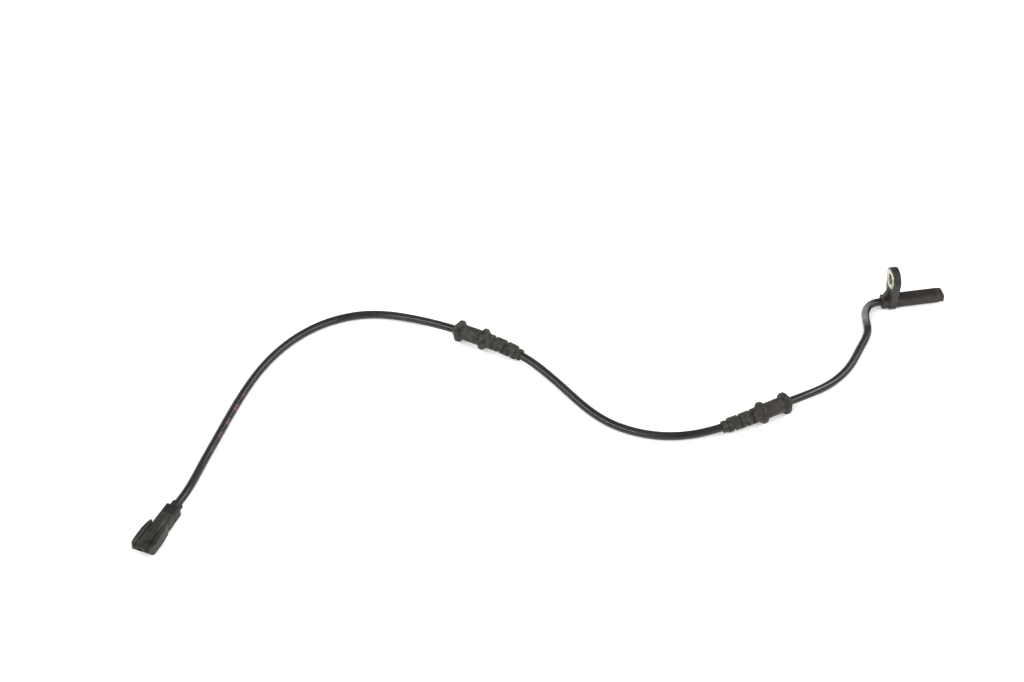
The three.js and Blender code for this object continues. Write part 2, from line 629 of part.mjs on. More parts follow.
// Grommet: two discs that clip into a slotted bracket, and a slotted boot that lets the cable flex.
// Its x starts at the tail disc and runs to the end of the boot.
function grommet(tailFromHead, facing) {
  const laid = (geometry) => solid(laidOnCable(geometry, tailFromHead, facing));
  const bootRoot = GROMMET_DISC_SPACING + GROMMET_CONE_LENGTH;
  const bootEnd = GROMMET_DISC_SPACING + BOOT_LENGTH;
  const firstSlot = GROMMET_DISC_SPACING + BOOT_FIRST_SLOT;
  const slots = Array.from({ length: BOOT_SLOTS }, (_, i) => firstSlot + i * BOOT_SLOT_PITCH);
  const collarEnd = slots.at(-1);
  const collarRadius = (x) => THREE.MathUtils.mapLinear(
    x, bootRoot, collarEnd, BOOT_ROOT_DIAMETER / 2, BOOT_END_DIAMETER / 2,
  );
  const collars = slots
    .flatMap((slot) => [slot - BOOT_SLOT_WIDTH / 2, slot + BOOT_SLOT_WIDTH / 2])
    .filter((x) => x < collarEnd)
    .map((x) => [x, collarRadius(x)]);
  const tail = discProfile(GROMMET_TAIL_DIAMETER).reverse();
  const head = discProfile(BOOT_ROOT_DIAMETER).map(([x, radius]) => [GROMMET_DISC_SPACING - x, radius]);
  const tip = BOOT_TIP_DIAMETER / 2;
  const body = laid(turnedX([
    ...tail, ...head, ...collars, [collarEnd, collarRadius(collarEnd)],
    [collarEnd, tip], [bootEnd - GROMMET_ROUNDING, tip], [bootEnd, tip - GROMMET_ROUNDING],
  ], GROMMET_SIDES));
  const bore = Array.from({ length: BORE_STEPS + 1 }, (_, i) => [
    THREE.MathUtils.mapLinear(i, 0, BORE_STEPS, -GROMMET_CONE_LENGTH - 1, bootEnd + 1), CABLE_HOLE / 2,
  ]);
  const cutSlot = (left, slot, i) => {
    const wide = BOOT_ROOT_DIAMETER;
    const ring = laid(rod(wide + 2, slot - BOOT_SLOT_WIDTH / 2, slot + BOOT_SLOT_WIDTH / 2, GROMMET_SIDES))
      .subtract(laid(rod(BOOT_CORE_DIAMETER, slot - BOOT_SLOT_WIDTH, slot + BOOT_SLOT_WIDTH, GROMMET_SIDES)));
    const uncut = i % 2 ? [BOOT_OVERCUT, wide] : [-wide, -BOOT_OVERCUT];
    const bridge = laid(block(around(slot, 2 * BOOT_SLOT_WIDTH), around(0, 2 * wide), uncut));
    return left.subtract(ring.subtract(bridge));
  };
  return slots.reduce(cutSlot, body).subtract(laid(turnedX(bore, GROMMET_SIDES)));
}

function plugRearCover() {
  const cavity = roundedRect(SEAL_POCKET_WIDTH, SEAL_POCKET_HEIGHT, NOSE_CORNER);
  return solid(rod(NECK_DIAMETER, 0, NECK_LENGTH + 1))
    .add(alongX(roundedRect(COVER_WIDTH, COVER_HEIGHT, PLUG_CORNER), NECK_LENGTH, COVER_FRONT_X, EDGE_BEVEL))
    .subtract(solid(rod(CABLE_HOLE, -1, PLUG_CABLE_GRIP + SEAT_GAP)))
    .subtract(alongX(cavity, PLUG_CABLE_GRIP + SEAT_GAP / 2, COVER_FRONT_X + 1));
}

// One side guard seen from above: straight against the shroud, bowed outside
function guardOutline(side) {
  const inner = side * (SHROUD_WIDTH / 2 - GUARD_THICKNESS);
  const outer = side * (SHROUD_WIDTH / 2);
  const [rear, front] = [SHROUD_REAR_X, RIM_X - GUARD_SETBACK];
  const swell = rear + GUARD_SWELL_AT;
  const shape = new THREE.Shape();
  shape.moveTo(rear, inner);
  shape.lineTo(rear, outer);
  shape.quadraticCurveTo((rear + swell) / 2, outer + side * GUARD_BOW, swell, outer + side * GUARD_BOW);
  shape.lineTo(front - GUARD_TAPER, outer + side * GUARD_BOW);
  shape.quadraticCurveTo(front, outer + side * GUARD_BOW, front, outer);
  shape.lineTo(front, inner);
  return shape;
}

// The latch seen from above: an arm rooted at the shoulder, with a wider pad to press at the front
function latchOutline() {
  const [arm, pad] = [LATCH_WIDTH / 2, LATCH_PAD_WIDTH / 2];
  const padFrom = RIM_X - LATCH_PAD_LENGTH;
  const root = SHROUD_REAR_X - SHROUD_FLOOR;
  return outline([
    [root, -arm], [padFrom - (pad - arm), -arm], [padFrom, -pad], [RIM_X - SEAT_GAP, -pad],
    [RIM_X - SEAT_GAP, pad], [padFrom, pad], [padFrom - (pad - arm), arm], [root, arm],
  ]);
}

const UPRIGHT = new THREE.Matrix4();

function plugHousing() {
  const shroudTop = SHROUD_HEIGHT / 2;
  const guardTop = shroudTop + GUARD_RISE;
  const latchFrom = shroudTop + LATCH_GAP;
  const mouth = roundedRect(
    SHROUD_WIDTH - 2 * SHROUD_WALL, SHROUD_HEIGHT - 2 * SHROUD_WALL, SHROUD_CORNER - SHROUD_WALL,
  );
  const shell = joined([
    alongX(roundedRect(BODY_WIDTH, BODY_HEIGHT, PLUG_CORNER), BODY_REAR_X, SHROUD_REAR_X + 1),
    alongX(roundedRect(SHROUD_WIDTH, SHROUD_HEIGHT, SHROUD_CORNER), SHROUD_REAR_X, RIM_X, EDGE_BEVEL),
    ...[-1, 1].map((side) => solid(pulled(
      guardOutline(side), -GUARD_DROP, guardTop, UPRIGHT, GUARD_BEVEL, BOW_SIDES,
    ))),
  ]);
  const channelFrom = SEAL_POCKET_FRONT_X - 1;
  const channels = [-1, 1].map((side) => solid(block(
    [channelFrom, NOSE_FRONT_X + 1],
    around((side * WAY_PITCH) / 2, 2 * CHANNEL_HALF),
    around(0, 2 * CHANNEL_HALF),
  )));
  const tabSeat = (side) => solid(block(
    [NOSE_FRONT_X - LOCK_TAB_LENGTH, NOSE_FRONT_X + 1],
    around(0, LOCK_TAB_WIDTH + 2 * SEAT_GAP),
    around(side * (NOSE_HEIGHT / 2), 2 * (LOCK_TAB_THICKNESS + SEAT_GAP)),
  ));
  const nose = alongX(roundedRect(NOSE_WIDTH, NOSE_HEIGHT, NOSE_CORNER), SHROUD_REAR_X, NOSE_FRONT_X);
  const latch = solid(pulled(latchOutline(), latchFrom, latchFrom + LATCH_THICKNESS, UPRIGHT));
  const root = solid(block(
    [SHROUD_REAR_X - SHROUD_FLOOR, SHROUD_REAR_X + SHROUD_FLOOR],
    around(0, LATCH_WIDTH),
    [BODY_HEIGHT / 2 - 1, latchFrom + LATCH_THICKNESS],
  ));
  const slant = fromSide(
    outline([
      [RIM_X, shroudTop], [RIM_X - RIM_SLANT, -shroudTop], [RIM_X - RIM_SLANT, -SHROUD_HEIGHT],
      [RIM_X + 1, -SHROUD_HEIGHT], [RIM_X + 1, shroudTop],
    ]),
    2 * SHROUD_WIDTH,
  );
  const scallop = new THREE.CylinderGeometry(SCALLOP_RADIUS, SCALLOP_RADIUS, 2 * guardTop, ROUND_SIDES);
  scallop.rotateX(Math.PI / 2);
  scallop.translate(RIM_X + SCALLOP_RADIUS - SCALLOP_DEPTH, 0, NOSE_HEIGHT / 2 + SEAT_GAP + guardTop);
  return shell
    .subtract(alongX(mouth, SHROUD_REAR_X + SHROUD_FLOOR, RIM_X + 1))
    .add(nose)
    .add(latch)
    .add(root)
    .subtract(solid(scallop))
    .subtract(slant)
    .subtract(joined(channels))
    .subtract(joined([tabSeat(-1), tabSeat(1)]))
    .subtract(alongX(
      roundedRect(SEAL_POCKET_WIDTH, SEAL_POCKET_HEIGHT, NOSE_CORNER), BODY_REAR_X - 1, SEAL_POCKET_FRONT_X,
    ));
}

// Cap over the nose that keeps the terminals from backing out
function plugTerminalLock() {
  const rear = LOCK_FRONT_X - LOCK_THICKNESS;
  const plate = alongX(roundedRect(NOSE_WIDTH, NOSE_HEIGHT, NOSE_CORNER), rear, LOCK_FRONT_X);
  const tabs = [-1, 1].map((side) => solid(block(
    [NOSE_FRONT_X - LOCK_TAB_LENGTH + SEAT_GAP, rear + LOCK_THICKNESS / 2],
    around(0, LOCK_TAB_WIDTH),
    around(side * (NOSE_HEIGHT / 2 - LOCK_TAB_THICKNESS / 2), LOCK_TAB_THICKNESS),
  )));
  const holes = [-1, 1].map((side) => solid(block(
    [rear - 1, LOCK_FRONT_X + 1], around((side * WAY_PITCH) / 2, LOCK_HOLE), around(0, LOCK_HOLE),
  )));
  return joined([plate, ...tabs]).subtract(joined(holes));
}

// Receptacle of one way: crimp, strip and a square socket for the blade
function plugTerminal(y) {
  const half = CRIMP_HALF_WIDTH;
  const socketFrom = SOCKET_FRONT_X - SOCKET_LENGTH;
  const strip = block(
    [PLUG_CRIMP_X + 1, socketFrom + 1], around(y, STRIP_WIDTH), [-half, -half + CRIMP_STOCK],
  );
  const socket = solid(block([socketFrom, SOCKET_FRONT_X], around(y, 2 * half), around(0, 2 * half)))
    .subtract(solid(block(
      [socketFrom - 1, SOCKET_FRONT_X + 1],
      around(y, 2 * (half - CRIMP_STOCK)),
      around(0, 2 * (half - CRIMP_STOCK)),
    )));
  return joined([crimp(PLUG_CRIMP_X, y), solid(strip), socket]);
}

function plugWireSeal() {
  const [from, to] = [BODY_REAR_X + SEAT_GAP, SEAL_POCKET_FRONT_X - SEAT_GAP];
  const [width, height] = [SEAL_POCKET_WIDTH - 2 * SEAT_GAP, SEAL_POCKET_HEIGHT - 2 * SEAT_GAP];
  const lip = (to - from) / 5;
  const slice = (i, inset) => alongX(
    roundedRect(width - 2 * inset, height - 2 * inset, NOSE_CORNER), from + i * lip, from + (i + 1) * lip,
  );
  const trunk = alongX(
    roundedRect(width - 2 * WIRE_SEAL_LIP, height - 2 * WIRE_SEAL_LIP, NOSE_CORNER), from, to,
  );
  const holes = [-1, 1].map((side) => solid(
    rod(CORE_DIAMETER + 2 * SEAT_GAP, from - 1, to + 1, SMALL_SIDES).translate(0, (side * WAY_PITCH) / 2, 0),
  ));
  return joined([trunk, ...[0, 2, 4].map((i) => slice(i, 0))]).subtract(joined(holes));
}

// Ring that seals the mated plug, round the foot of the nose
function plugFrontSeal() {
  const from = SHROUD_REAR_X + SHROUD_FLOOR + SEAT_GAP;
  const room = 2 * SEAT_GAP;
  const outer = roundedRect(
    SHROUD_WIDTH - 2 * SHROUD_WALL - room,
    SHROUD_HEIGHT - 2 * SHROUD_WALL - room,
    SHROUD_CORNER - SHROUD_WALL,
  );
  const inner = roundedRect(NOSE_WIDTH + room, NOSE_HEIGHT + room, NOSE_CORNER + SEAT_GAP);
  return alongX(outer, from, from + FRONT_SEAL_LENGTH)
    .subtract(alongX(inner, from - 1, from + FRONT_SEAL_LENGTH + 1));
}

function node(name, body, material) {
  const mesh = new THREE.Mesh(surfaceOf(body), material);
  mesh.name = name;
  return mesh;
}

const sensor = new THREE.Group();
const head = new THREE.Group();
const plug = new THREE.Group();
head.position.z = HEAD_AXIS_HEIGHT;
plug.position.set(...PLUG_ENTRY, PLUG_AXIS_HEIGHT);
plug.rotation.z = PLUG_HEADING;
sensor.add(head, plug);

head.add(
  node('head_housing', headHousing(), HEAD_PLASTIC),
  node('ear_bush', earBush(), BUSH_STEEL),
  node('element_carrier', elementCarrier(), CARRIER_PLASTIC),
  node('sensing_element', sensingElement(), ELEMENT_RESIN),
  node('bias_magnet', biasMagnet(), MAGNET_FERRITE),
);
plug.add(
  node('plug_rear_cover', plugRearCover(), COVER_PLASTIC),
  node('plug_housing', plugHousing(), PLUG_PLASTIC),
  node('plug_terminal_lock', plugTerminalLock(), CARRIER_PLASTIC),
  node('plug_wire_seal', plugWireSeal(), SEAL_SILICONE),
  node('plug_front_seal', plugFrontSeal(), SEAL_SILICONE),
);
['a', 'b'].forEach((way, i) => {
  const y = (i - 0.5) * WAY_PITCH;
  const plugCoreX = PLUG_CABLE_GRIP + SEAT_GAP;
  head.add(
    node(`head_terminal_${way}`, headTerminal(y), TERMINAL_BRASS),
    node(`head_core_${way}`, core(HEAD_CORE_X, HEAD_CORE_LENGTH, y), CORE_INSULATION[i]),
  );
  plug.add(
    node(`plug_terminal_${way}`, plugTerminal(y), TERMINAL_BRASS),
    node(`plug_core_${way}`, core(plugCoreX, PLUG_CRIMP_X - SEAT_GAP - plugCoreX, y), CORE_INSULATION[i]),
  );
});
sensor.add(
  node('cable', cable(), CABLE_JACKET),
  node('grommet_near_head', grommet(FIRST_GROMMET_AT, 1), GROMMET_RUBBER),
  node('grommet_near_plug', grommet(SECOND_GROMMET_AT, -1), GROMMET_RUBBER),
);
sensor.updateMatrixWorld(true);

export default sensor;
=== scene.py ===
"""Looks of an ABS wheel speed sensor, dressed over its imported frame.

A moulded head with a bar-shaped probe and a bolt ear, a 5 mm lead with two clip-in rubber grommets, and a
sealed two-way plug lie on a white sheet. New pieces are surfaces worked out with numpy in millimetres, in
the row frame, and are put into their meshes in metres.
"""

from __future__ import annotations

import logging
from dataclasses import dataclass, field
from enum import Enum

import bpy
import numpy as np
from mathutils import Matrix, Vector


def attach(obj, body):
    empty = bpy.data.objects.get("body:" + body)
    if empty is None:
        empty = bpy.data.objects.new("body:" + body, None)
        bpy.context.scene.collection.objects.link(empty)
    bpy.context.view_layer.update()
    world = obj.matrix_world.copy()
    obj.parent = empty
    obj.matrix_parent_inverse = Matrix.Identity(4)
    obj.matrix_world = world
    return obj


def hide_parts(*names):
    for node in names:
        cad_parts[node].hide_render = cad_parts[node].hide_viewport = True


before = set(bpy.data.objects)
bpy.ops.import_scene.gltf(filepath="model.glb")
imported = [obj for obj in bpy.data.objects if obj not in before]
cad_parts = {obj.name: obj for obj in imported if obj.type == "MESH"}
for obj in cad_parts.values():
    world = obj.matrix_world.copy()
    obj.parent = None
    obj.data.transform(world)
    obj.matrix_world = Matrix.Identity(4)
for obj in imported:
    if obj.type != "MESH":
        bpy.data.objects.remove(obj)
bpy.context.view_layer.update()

MM = 0.001
ROOT = "root"
Array = np.ndarray
Span = tuple[float, float]
Tree = bpy.types.NodeTree
Socket = bpy.types.NodeSocket
Piece = bpy.types.Object
log = logging.getLogger("speed_sensor")


class Facing(Enum):
    """Which way a grommet's boot points along the lead, measured from the head."""

    TO_PLUG = 1
    TO_HEAD = -1


def linear(code: str) -> tuple[float, float, float, float]:
    """Turns an sRGB hex colour into the linear colour that a shader takes.

    Args:
        code: the colour as "#rrggbb".

    Returns:
        Linear red, green and blue, and an alpha of 1.
    """
    srgb = np.array([int(code[i : i + 2], 16) for i in (1, 3, 5)]) / 255
    red, green, blue = np.where(srgb <= 0.04045, srgb / 12.92, ((srgb + 0.055) / 1.055) ** 2.4)
    return float(red), float(green), float(blue), 1.0


def add(
    tree: Tree, kind: str, sockets: dict[str | int, object] | None = None, **settings: object
) -> bpy.types.Node:
    """Adds a node with its settings and links.

    Args:
        tree: the material's nodes.
        kind: the node's type, without its ShaderNode prefix.
        sockets: input by name or number, with the value it is set to or the output it is linked from.
        settings: the node's own attributes, such as operation.

    Returns:
        The new node.
    """
    node = tree.nodes.new(f"ShaderNode{kind}")
    for name, value in settings.items():
        setattr(node, name, value)
    for key, value in (sockets or {}).items():
        if isinstance(value, Socket):
            tree.links.new(value, node.inputs[key])
        else:
            node.inputs[key].default_value = value
    return node


def calc(tree: Tree, operation: str, *values: Socket | float) -> Socket:
    """The result of one step of arithmetic, such as MULTIPLY, on the values."""
    return add(tree, "Math", dict(enumerate(values)), operation=operation).outputs[0]


def product(tree: Tree, *values: Socket) -> Socket:
    """Multiplies values.

    Args:
        tree: the material's nodes.
        values: the values, of which there are two or more.

    Returns:
        Their product.
    """
    total = values[0]
    for value in values[1:]:
        total = calc(tree, "MULTIPLY", total, value)
    return total


def graded(
    tree: Tree,
    value: Socket,
    span: Span,
    result: Span = (0.0, 1.0),
    easing: str = "LINEAR",
) -> Socket:
    """The value graded over a span, which may run down, from one result to the other, and held beyond."""
    limits = {"From Min": span[0], "From Max": span[1], "To Min": result[0], "To Max": result[1]}
    return add(tree, "MapRange", {"Value": value, **limits}, interpolation_type=easing).outputs[0]


def tinted(tree: Tree, share: Socket, colour: Socket | tuple[float, ...], code: str) -> Socket:
    """The colour with a share of a second one, given as "#rrggbb", mixed in."""
    return add(tree, "Mix", {0: share, 6: colour, 7: linear(code)}, data_type="RGBA").outputs[2]


def noise(tree: Tree, place: Socket, size_mm: float, detail: float) -> Socket:
    """Noise tied to the object, in patches of `size_mm` with `detail` finer layers."""
    scale = 1 / (2 * size_mm * MM)
    return add(tree, "TexNoise", {"Vector": place, "Scale": scale, "Detail": detail}).outputs[0]


def bumped(tree: Tree, height: Socket, normal: Socket, strength: float, relief_mm: float) -> Socket:
    """The normal tilted by a share of the slopes of a relief, whose height of 1 is `relief_mm`."""
    sockets = {"Strength": strength, "Distance": relief_mm * MM, "Height": height, "Normal": normal}
    return add(tree, "Bump", sockets).outputs[0]


@dataclass(frozen=True)
class Finish:
    """What every finish has: its name, the shader's plain values, and how its surface is broken up.

    Colours vary between `colour` and `second` in soft patches of `patch_mm`, over the part `patch_span` of
    the noise, and the roughness strays by `dulling` with them. Grain of `grain_mm` lifts the surface by
    `relief_mm`. Edges are rounded to `edge_mm` and worn to `worn`, by a share of up to `wear`. `gloss` is
    the strength of the reflection at right angles.
    """

    name: str
    colour: str
    second: str
    worn: str
    roughness: float
    patch_mm: float
    grain_mm: float
    relief_mm: float
    wear: float = 0.5
    edge_mm: float = 0.35
    metallic: float = 0.0
    ior: float = 1.5
    gloss: float = 0.3
    patch_span: Span = (0.32, 0.68)
    patch_detail: float = 3.0
    dulling: Span = (-0.06, 0.08)
    grain_detail: float = 2.0
    grain_strength: float = 0.6
    bend_span: Span = (1.0, 0.85)
    edge_samples: int = 6

    def build(self) -> bpy.types.Material:
        """Makes the material.

        Returns:
            The material, ready for a mesh's slot.
        """
        material = bpy.data.materials.new(self.name)
        material.use_nodes = True
        tree = material.node_tree
        shader = tree.nodes["Principled BSDF"]
        shader.inputs["Metallic"].default_value = self.metallic
        if not self.metallic:
            shader.inputs["IOR"].default_value = self.ior
            shader.inputs["Specular IOR Level"].default_value = self.gloss
        place = add(tree, "TexCoord").outputs["Object"]
        patches = graded(tree, noise(tree, place, self.patch_mm, self.patch_detail), self.patch_span)
        rounded = add(tree, "Bevel", {"Radius": self.edge_mm * MM}, samples=self.edge_samples).outputs[0]
        colour = tinted(tree, patches, linear(self.colour), self.second)
        colour = self.worn_edges(tree, rounded, patches, colour)
        colour = self.marks(tree, place, colour)
        rough = tuple(self.roughness + step for step in self.dulling)
        grain = noise(tree, place, self.grain_mm, self.grain_detail)
        normal = bumped(tree, grain, rounded, self.grain_strength, self.relief_mm)
        tree.links.new(colour, shader.inputs["Base Color"])
        tree.links.new(graded(tree, patches, (0.0, 1.0), rough), shader.inputs["Roughness"])
        tree.links.new(self.relief(tree, place, normal), shader.inputs["Normal"])
        self.shine(shader)
        return material

    def worn_edges(self, tree: Tree, rounded: Socket, patches: Socket, colour: Socket) -> Socket:
        """Lightens the edges, which are where the rounded normal leaves the true one.

        The wear grows as the dot product of the two normals falls over `bend_span`.

        Args:
            tree: the material's nodes.
            rounded: the normal with its edges rounded off.
            patches: noise that breaks the wear up.
            colour: the colour so far.

        Returns:
            The colour with worn edges.
        """
        normals = {0: rounded, 1: add(tree, "NewGeometry").outputs["Normal"]}
        agree = add(tree, "VectorMath", normals, operation="DOT_PRODUCT").outputs["Value"]
        bent = graded(tree, agree, self.bend_span, (0.0, self.wear))
        return tinted(tree, product(tree, bent, patches), colour, self.worn)

    def marks(self, tree: Tree, place: Socket, colour: Socket) -> Socket:
        """Marks of this finish on the colour. A plain finish has none."""
        return colour

    def relief(self, tree: Tree, place: Socket, normal: Socket) -> Socket:
        """Coarser relief of this finish on the normal. A plain finish has none."""
        return normal

    def shine(self, shader: bpy.types.Node) -> None:
        """Sets what the shader has besides colour and roughness. A plain finish sets nothing."""


@dataclass(frozen=True)
class PrintedJacket(Finish):
    """Extruded polyurethane jacket: fine lines along it, worn red printed dashes, and a lighter grey
    stretch near the head that is a painted highlight.

    Stretches are distances along the lead in millimetres, and sides and widths are shares of the way round.
    The dashes are `dash_mm` long, one to each `pitch_mm`, and fade in and out over `fade_mm`. Spots of
    `spot_mm` break up the ink, of which `ink_most` is left at best, and the painted highlight, down to its
    least share.
    """

    ink: str = "#8b464f"
    ink_side: float = 0.12
    ink_width: float = 0.15
    ink_span: Span = (0.42, 0.62)
    ink_most: float = 0.85
    dash_mm: float = 5.2
    pitch_mm: float = 12.45
    printed_mm: Span = (514.0, 608.0)
    fade_mm: float = 34.0
    # Painted highlight: a lighter grey on one side of the lead near the head, where a highlight lies on it.
    painted_highlight: str = "#7b7b7c"
    highlight_side: float = 0.34
    highlight_width: float = 0.4
    highlight_span: Span = (0.3, 0.6)
    highlight_least: float = 0.6
    highlight_mm: Span = (10.0, 36.0)
    highlight_fade_mm: float = 8.0
    spot_mm: float = 0.6
    spot_detail: float = 2.0
    line_mm: float = 0.35
    around_mm: float = 15.7
    line_changes_per_mm: float = 0.04
    line_strength: float = 0.35
    line_relief_mm: float = 0.03

    def marks(self, tree: Tree, place: Socket, colour: Socket) -> Socket:
        """Adds the painted highlight, a lighter grey stretch near the head, and the dashes, both broken up
        by fine spots.

        Args:
            tree: the material's nodes.
            place: object coordinates.
            colour: the colour so far.

        Returns:
            The colour with its marks.
        """
        around, along = self.unrolled(tree)
        phase = calc(tree, "FRACT", calc(tree, "MULTIPLY_ADD", along, 1 / self.pitch_mm, 0.5))
        spots = noise(tree, place, self.spot_mm, self.spot_detail)
        # Painted highlight: lighter grey on one side of the lead, over a stretch near the head.
        highlighted = product(
            tree,
            self.on_side(tree, around, self.highlight_side, self.highlight_width),
            self.on_stretch(tree, along, self.highlight_mm, self.highlight_fade_mm),
            graded(tree, spots, self.highlight_span, (self.highlight_least, 1.0)),
        )
        inked = product(
            tree,
            self.on_side(tree, around, self.ink_side, self.ink_width),
            self.on_stretch(tree, along, self.printed_mm, self.fade_mm),
            calc(tree, "COMPARE", phase, 0.5, self.dash_mm / self.pitch_mm / 2),
            graded(tree, spots, self.ink_span, (0.0, self.ink_most)),
        )
        return tinted(tree, inked, tinted(tree, highlighted, colour, self.painted_highlight), self.ink)

    def on_side(self, tree: Tree, around: Socket, side: float, width: float) -> Socket:
        """Finds how much a place lies on one side of the lead.

        Args:
            tree: the material's nodes.
            around: the share of the way round.
            side: the side's middle.
            width: the side's width.

        Returns:
            One up to a third of the width from the middle, and nought from half of it on.
        """
        wrapped = calc(tree, "FRACT", calc(tree, "SUBTRACT", around, side - 0.5))
        apart = calc(tree, "ABSOLUTE", calc(tree, "SUBTRACT", wrapped, 0.5))
        return graded(tree, apart, (width / 2, width / 3))

    def on_stretch(self, tree: Tree, along: Socket, ends: Span, fade: float) -> Socket:
        """One between the `ends`, coming up from nought over `fade` at each."""
        first, last = (graded(tree, along, (end, end + way * fade)) for end, way in zip(ends, (1, -1)))
        return product(tree, first, last)

    def relief(self, tree: Tree, place: Socket, normal: Socket) -> Socket:
        """Adds the die's fine lines: noise that changes round the lead and hardly along it."""
        around, along = self.unrolled(tree)
        across = calc(tree, "MULTIPLY", around, self.around_mm / self.line_mm)
        onward = calc(tree, "MULTIPLY", along, self.line_changes_per_mm)
        stretched = add(tree, "CombineXYZ", {0: across, 1: onward}).outputs[0]
        lines = add(tree, "TexNoise", {"Vector": stretched, "Scale": 1.0, "Detail": 1.0}).outputs[0]
        return bumped(tree, lines, normal, self.line_strength, self.line_relief_mm)

    def unrolled(self, tree: Tree) -> tuple[Socket, Socket]:
        """The jacket's own map: the share of the way round, and the distance along in millimetres."""
        split = add(tree, "SeparateXYZ", {0: add(tree, "UVMap", uv_map="unrolled").outputs[0]})
        return split.outputs[0], split.outputs[1]


@dataclass(frozen=True)
class DustyRubber(Finish):
    """Moulded EPDM: dull, with brown dust and a soft sheen at grazing angles.

    The dust's share is `dust_all_over`, with up to `dust_share` more round `dust_at_mm`, where the rubber
    was handled, out to `dust_reach_mm`. Patches of `dust_patch_mm` thin it, to `dust_least` of that.
    """

    dust: str = "#33241f"
    dust_share: float = 0.8
    dust_all_over: float = 0.05
    dust_at_mm: tuple[float, float, float] = (-116.0, -90.0, 8.0)
    dust_reach_mm: float = 15.0
    dust_patch_mm: float = 2.0
    dust_detail: float = 4.0
    dust_span: Span = (0.4, 0.6)
    dust_least: float = 0.2
    sheen: float = 0.06
    sheen_roughness: float = 0.5

    def marks(self, tree: Tree, place: Socket, colour: Socket) -> Socket:
        """Adds the brown dust.

        Args:
            tree: the material's nodes.
            place: object coordinates.
            colour: the colour so far.

        Returns:
            The colour with its dust.
        """
        centre = tuple(MM * value for value in self.dust_at_mm)
        far = add(tree, "VectorMath", {0: place, 1: centre}, operation="DISTANCE").outputs["Value"]
        near = graded(tree, far, (self.dust_reach_mm * MM, 0.0))
        share = calc(tree, "MULTIPLY_ADD", near, self.dust_share, self.dust_all_over)
        clouds = noise(tree, place, self.dust_patch_mm, self.dust_detail)
        patchy = graded(tree, clouds, self.dust_span, (self.dust_least, 1.0))
        return tinted(tree, product(tree, share, patchy), colour, self.dust)

    def shine(self, shader: bpy.types.Node) -> None:
        """Gives the rubber its soft sheen."""
        shader.inputs["Sheen Weight"].default_value = self.sheen
        shader.inputs["Sheen Roughness"].default_value = self.sheen_roughness


@dataclass(frozen=True)
class TurnedSteel(Finish):
    """Turned steel with a passivated film: fine rings round the bolt's axis from the cutting tool."""

    ring_mm: float = 0.25
    ring_strength: float = 0.5
    ring_relief_mm: float = 0.02
    axis_z_mm: float = 22.5

    def relief(self, tree: Tree, place: Socket, normal: Socket) -> Socket:
        """Adds the tool's rings: noise that changes with the distance from the bolt's axis and with x."""
        to_axis = (0.0, 0.0, -self.axis_z_mm * MM)
        centred = add(tree, "VectorMath", {0: place, 1: to_axis}, operation="ADD").outputs[0]
        split = add(tree, "SeparateXYZ", {0: centred})
        flat = add(tree, "CombineXYZ", {1: split.outputs[1], 2: split.outputs[2]}).outputs[0]
        radius = add(tree, "VectorMath", {0: flat}, operation="LENGTH").outputs["Value"]
        turned_place = add(tree, "CombineXYZ", {0: split.outputs[0], 1: radius}).outputs[0]
        rings = noise(tree, turned_place, self.ring_mm / 2, 1)
        return bumped(tree, rings, normal, self.ring_strength, self.ring_relief_mm)


# Glass-filled nylon 66, moulded: near black with a warm cast, satin, its grain left by an eroded mould
HEAD_NYLON = Finish(
    "glass_filled_nylon_head", "#1f1c19", "#2f2b27", "#5b554e", 0.42, 5.0, 0.25, 0.02, wear=0.7
)
# The same nylon in the plug: greener and a little lighter, dull, with its edges rubbed to a light grey
PLUG_NYLON = Finish(
    "glass_filled_nylon_plug", "#252522", "#373732", "#85857a", 0.46, 3.0, 0.25, 0.02,
    wear=0.85, edge_mm=0.45, gloss=0.18,
)
# Sleeve and neck behind the plug: the same nylon, darker
COVER_NYLON = Finish(
    "glass_filled_nylon_cover", "#181816", "#21211e", "#50504a", 0.5, 4.0, 0.3, 0.03, wear=0.6
)
# Polyurethane jacket, extruded: black, and smooth enough for a clear streak of light along it
JACKET = PrintedJacket(
    "polyurethane_jacket", "#1e1e1e", "#272727", "#363637", 0.22, 9.0, 0.4, 0.01, gloss=0.34
)
# EPDM rubber, moulded: matte, mottled from black to a greenish grey, with brown dust
RUBBER = DustyRubber("epdm_rubber", "#11110f", "#3f3e35", "#6a685a", 0.66, 1.3, 0.45, 0.1, wear=0.9)
# Free-cutting steel with passivated zinc: pale straw with olive patches, bright at its edges
BUSH_STEEL = TurnedSteel(
    "yellow_passivated_steel", "#b9b7a8", "#7f7b60", "#f4f2ea", 0.24, 1.6, 0.3, 0.01, metallic=1.0
)
# Silicone rubber, moulded: pale blue grey with a low reflection
SILICONE = Finish("silicone_rubber", "#76848f", "#838f98", "#9aa4ab", 0.55, 3.0, 0.4, 0.01, ior=1.41)
# Tinned brass strip, stamped: warm, with brighter sheared edges
BRASS = Finish("stamped_brass", "#c9a45a", "#b08d4a", "#e6cf94", 0.3, 1.5, 0.2, 0.005, metallic=1.0)
# Polybutylene terephthalate, moulded: grey carrier and terminal lock
PBT = Finish("moulded_pbt", "#34373a", "#3e4144", "#5b5e61", 0.5, 3.0, 0.3, 0.02)
# Epoxy moulding compound of the sensing element: black, finely sanded
EPOXY = Finish("epoxy_compound", "#18181a", "#222224", "#3a3a3c", 0.5, 1.0, 0.15, 0.01)
# Ground hard ferrite: dark grey
FERRITE = Finish("ground_ferrite", "#434346", "#4d4d51", "#6a6a6e", 0.42, 1.0, 0.2, 0.01)
# Cross-linked polyethylene insulation of the two cores, red and blue, smooth
RED_CORE = Finish("red_core_insulation", "#8a1f1b", "#95251f", "#a8423a", 0.42, 3.0, 0.3, 0.005)
BLUE_CORE = Finish("blue_core_insulation", "#2f4f8f", "#365797", "#5672a8", 0.42, 3.0, 0.3, 0.005)

Dressing = tuple[tuple[Finish, tuple[str, ...]], ...]


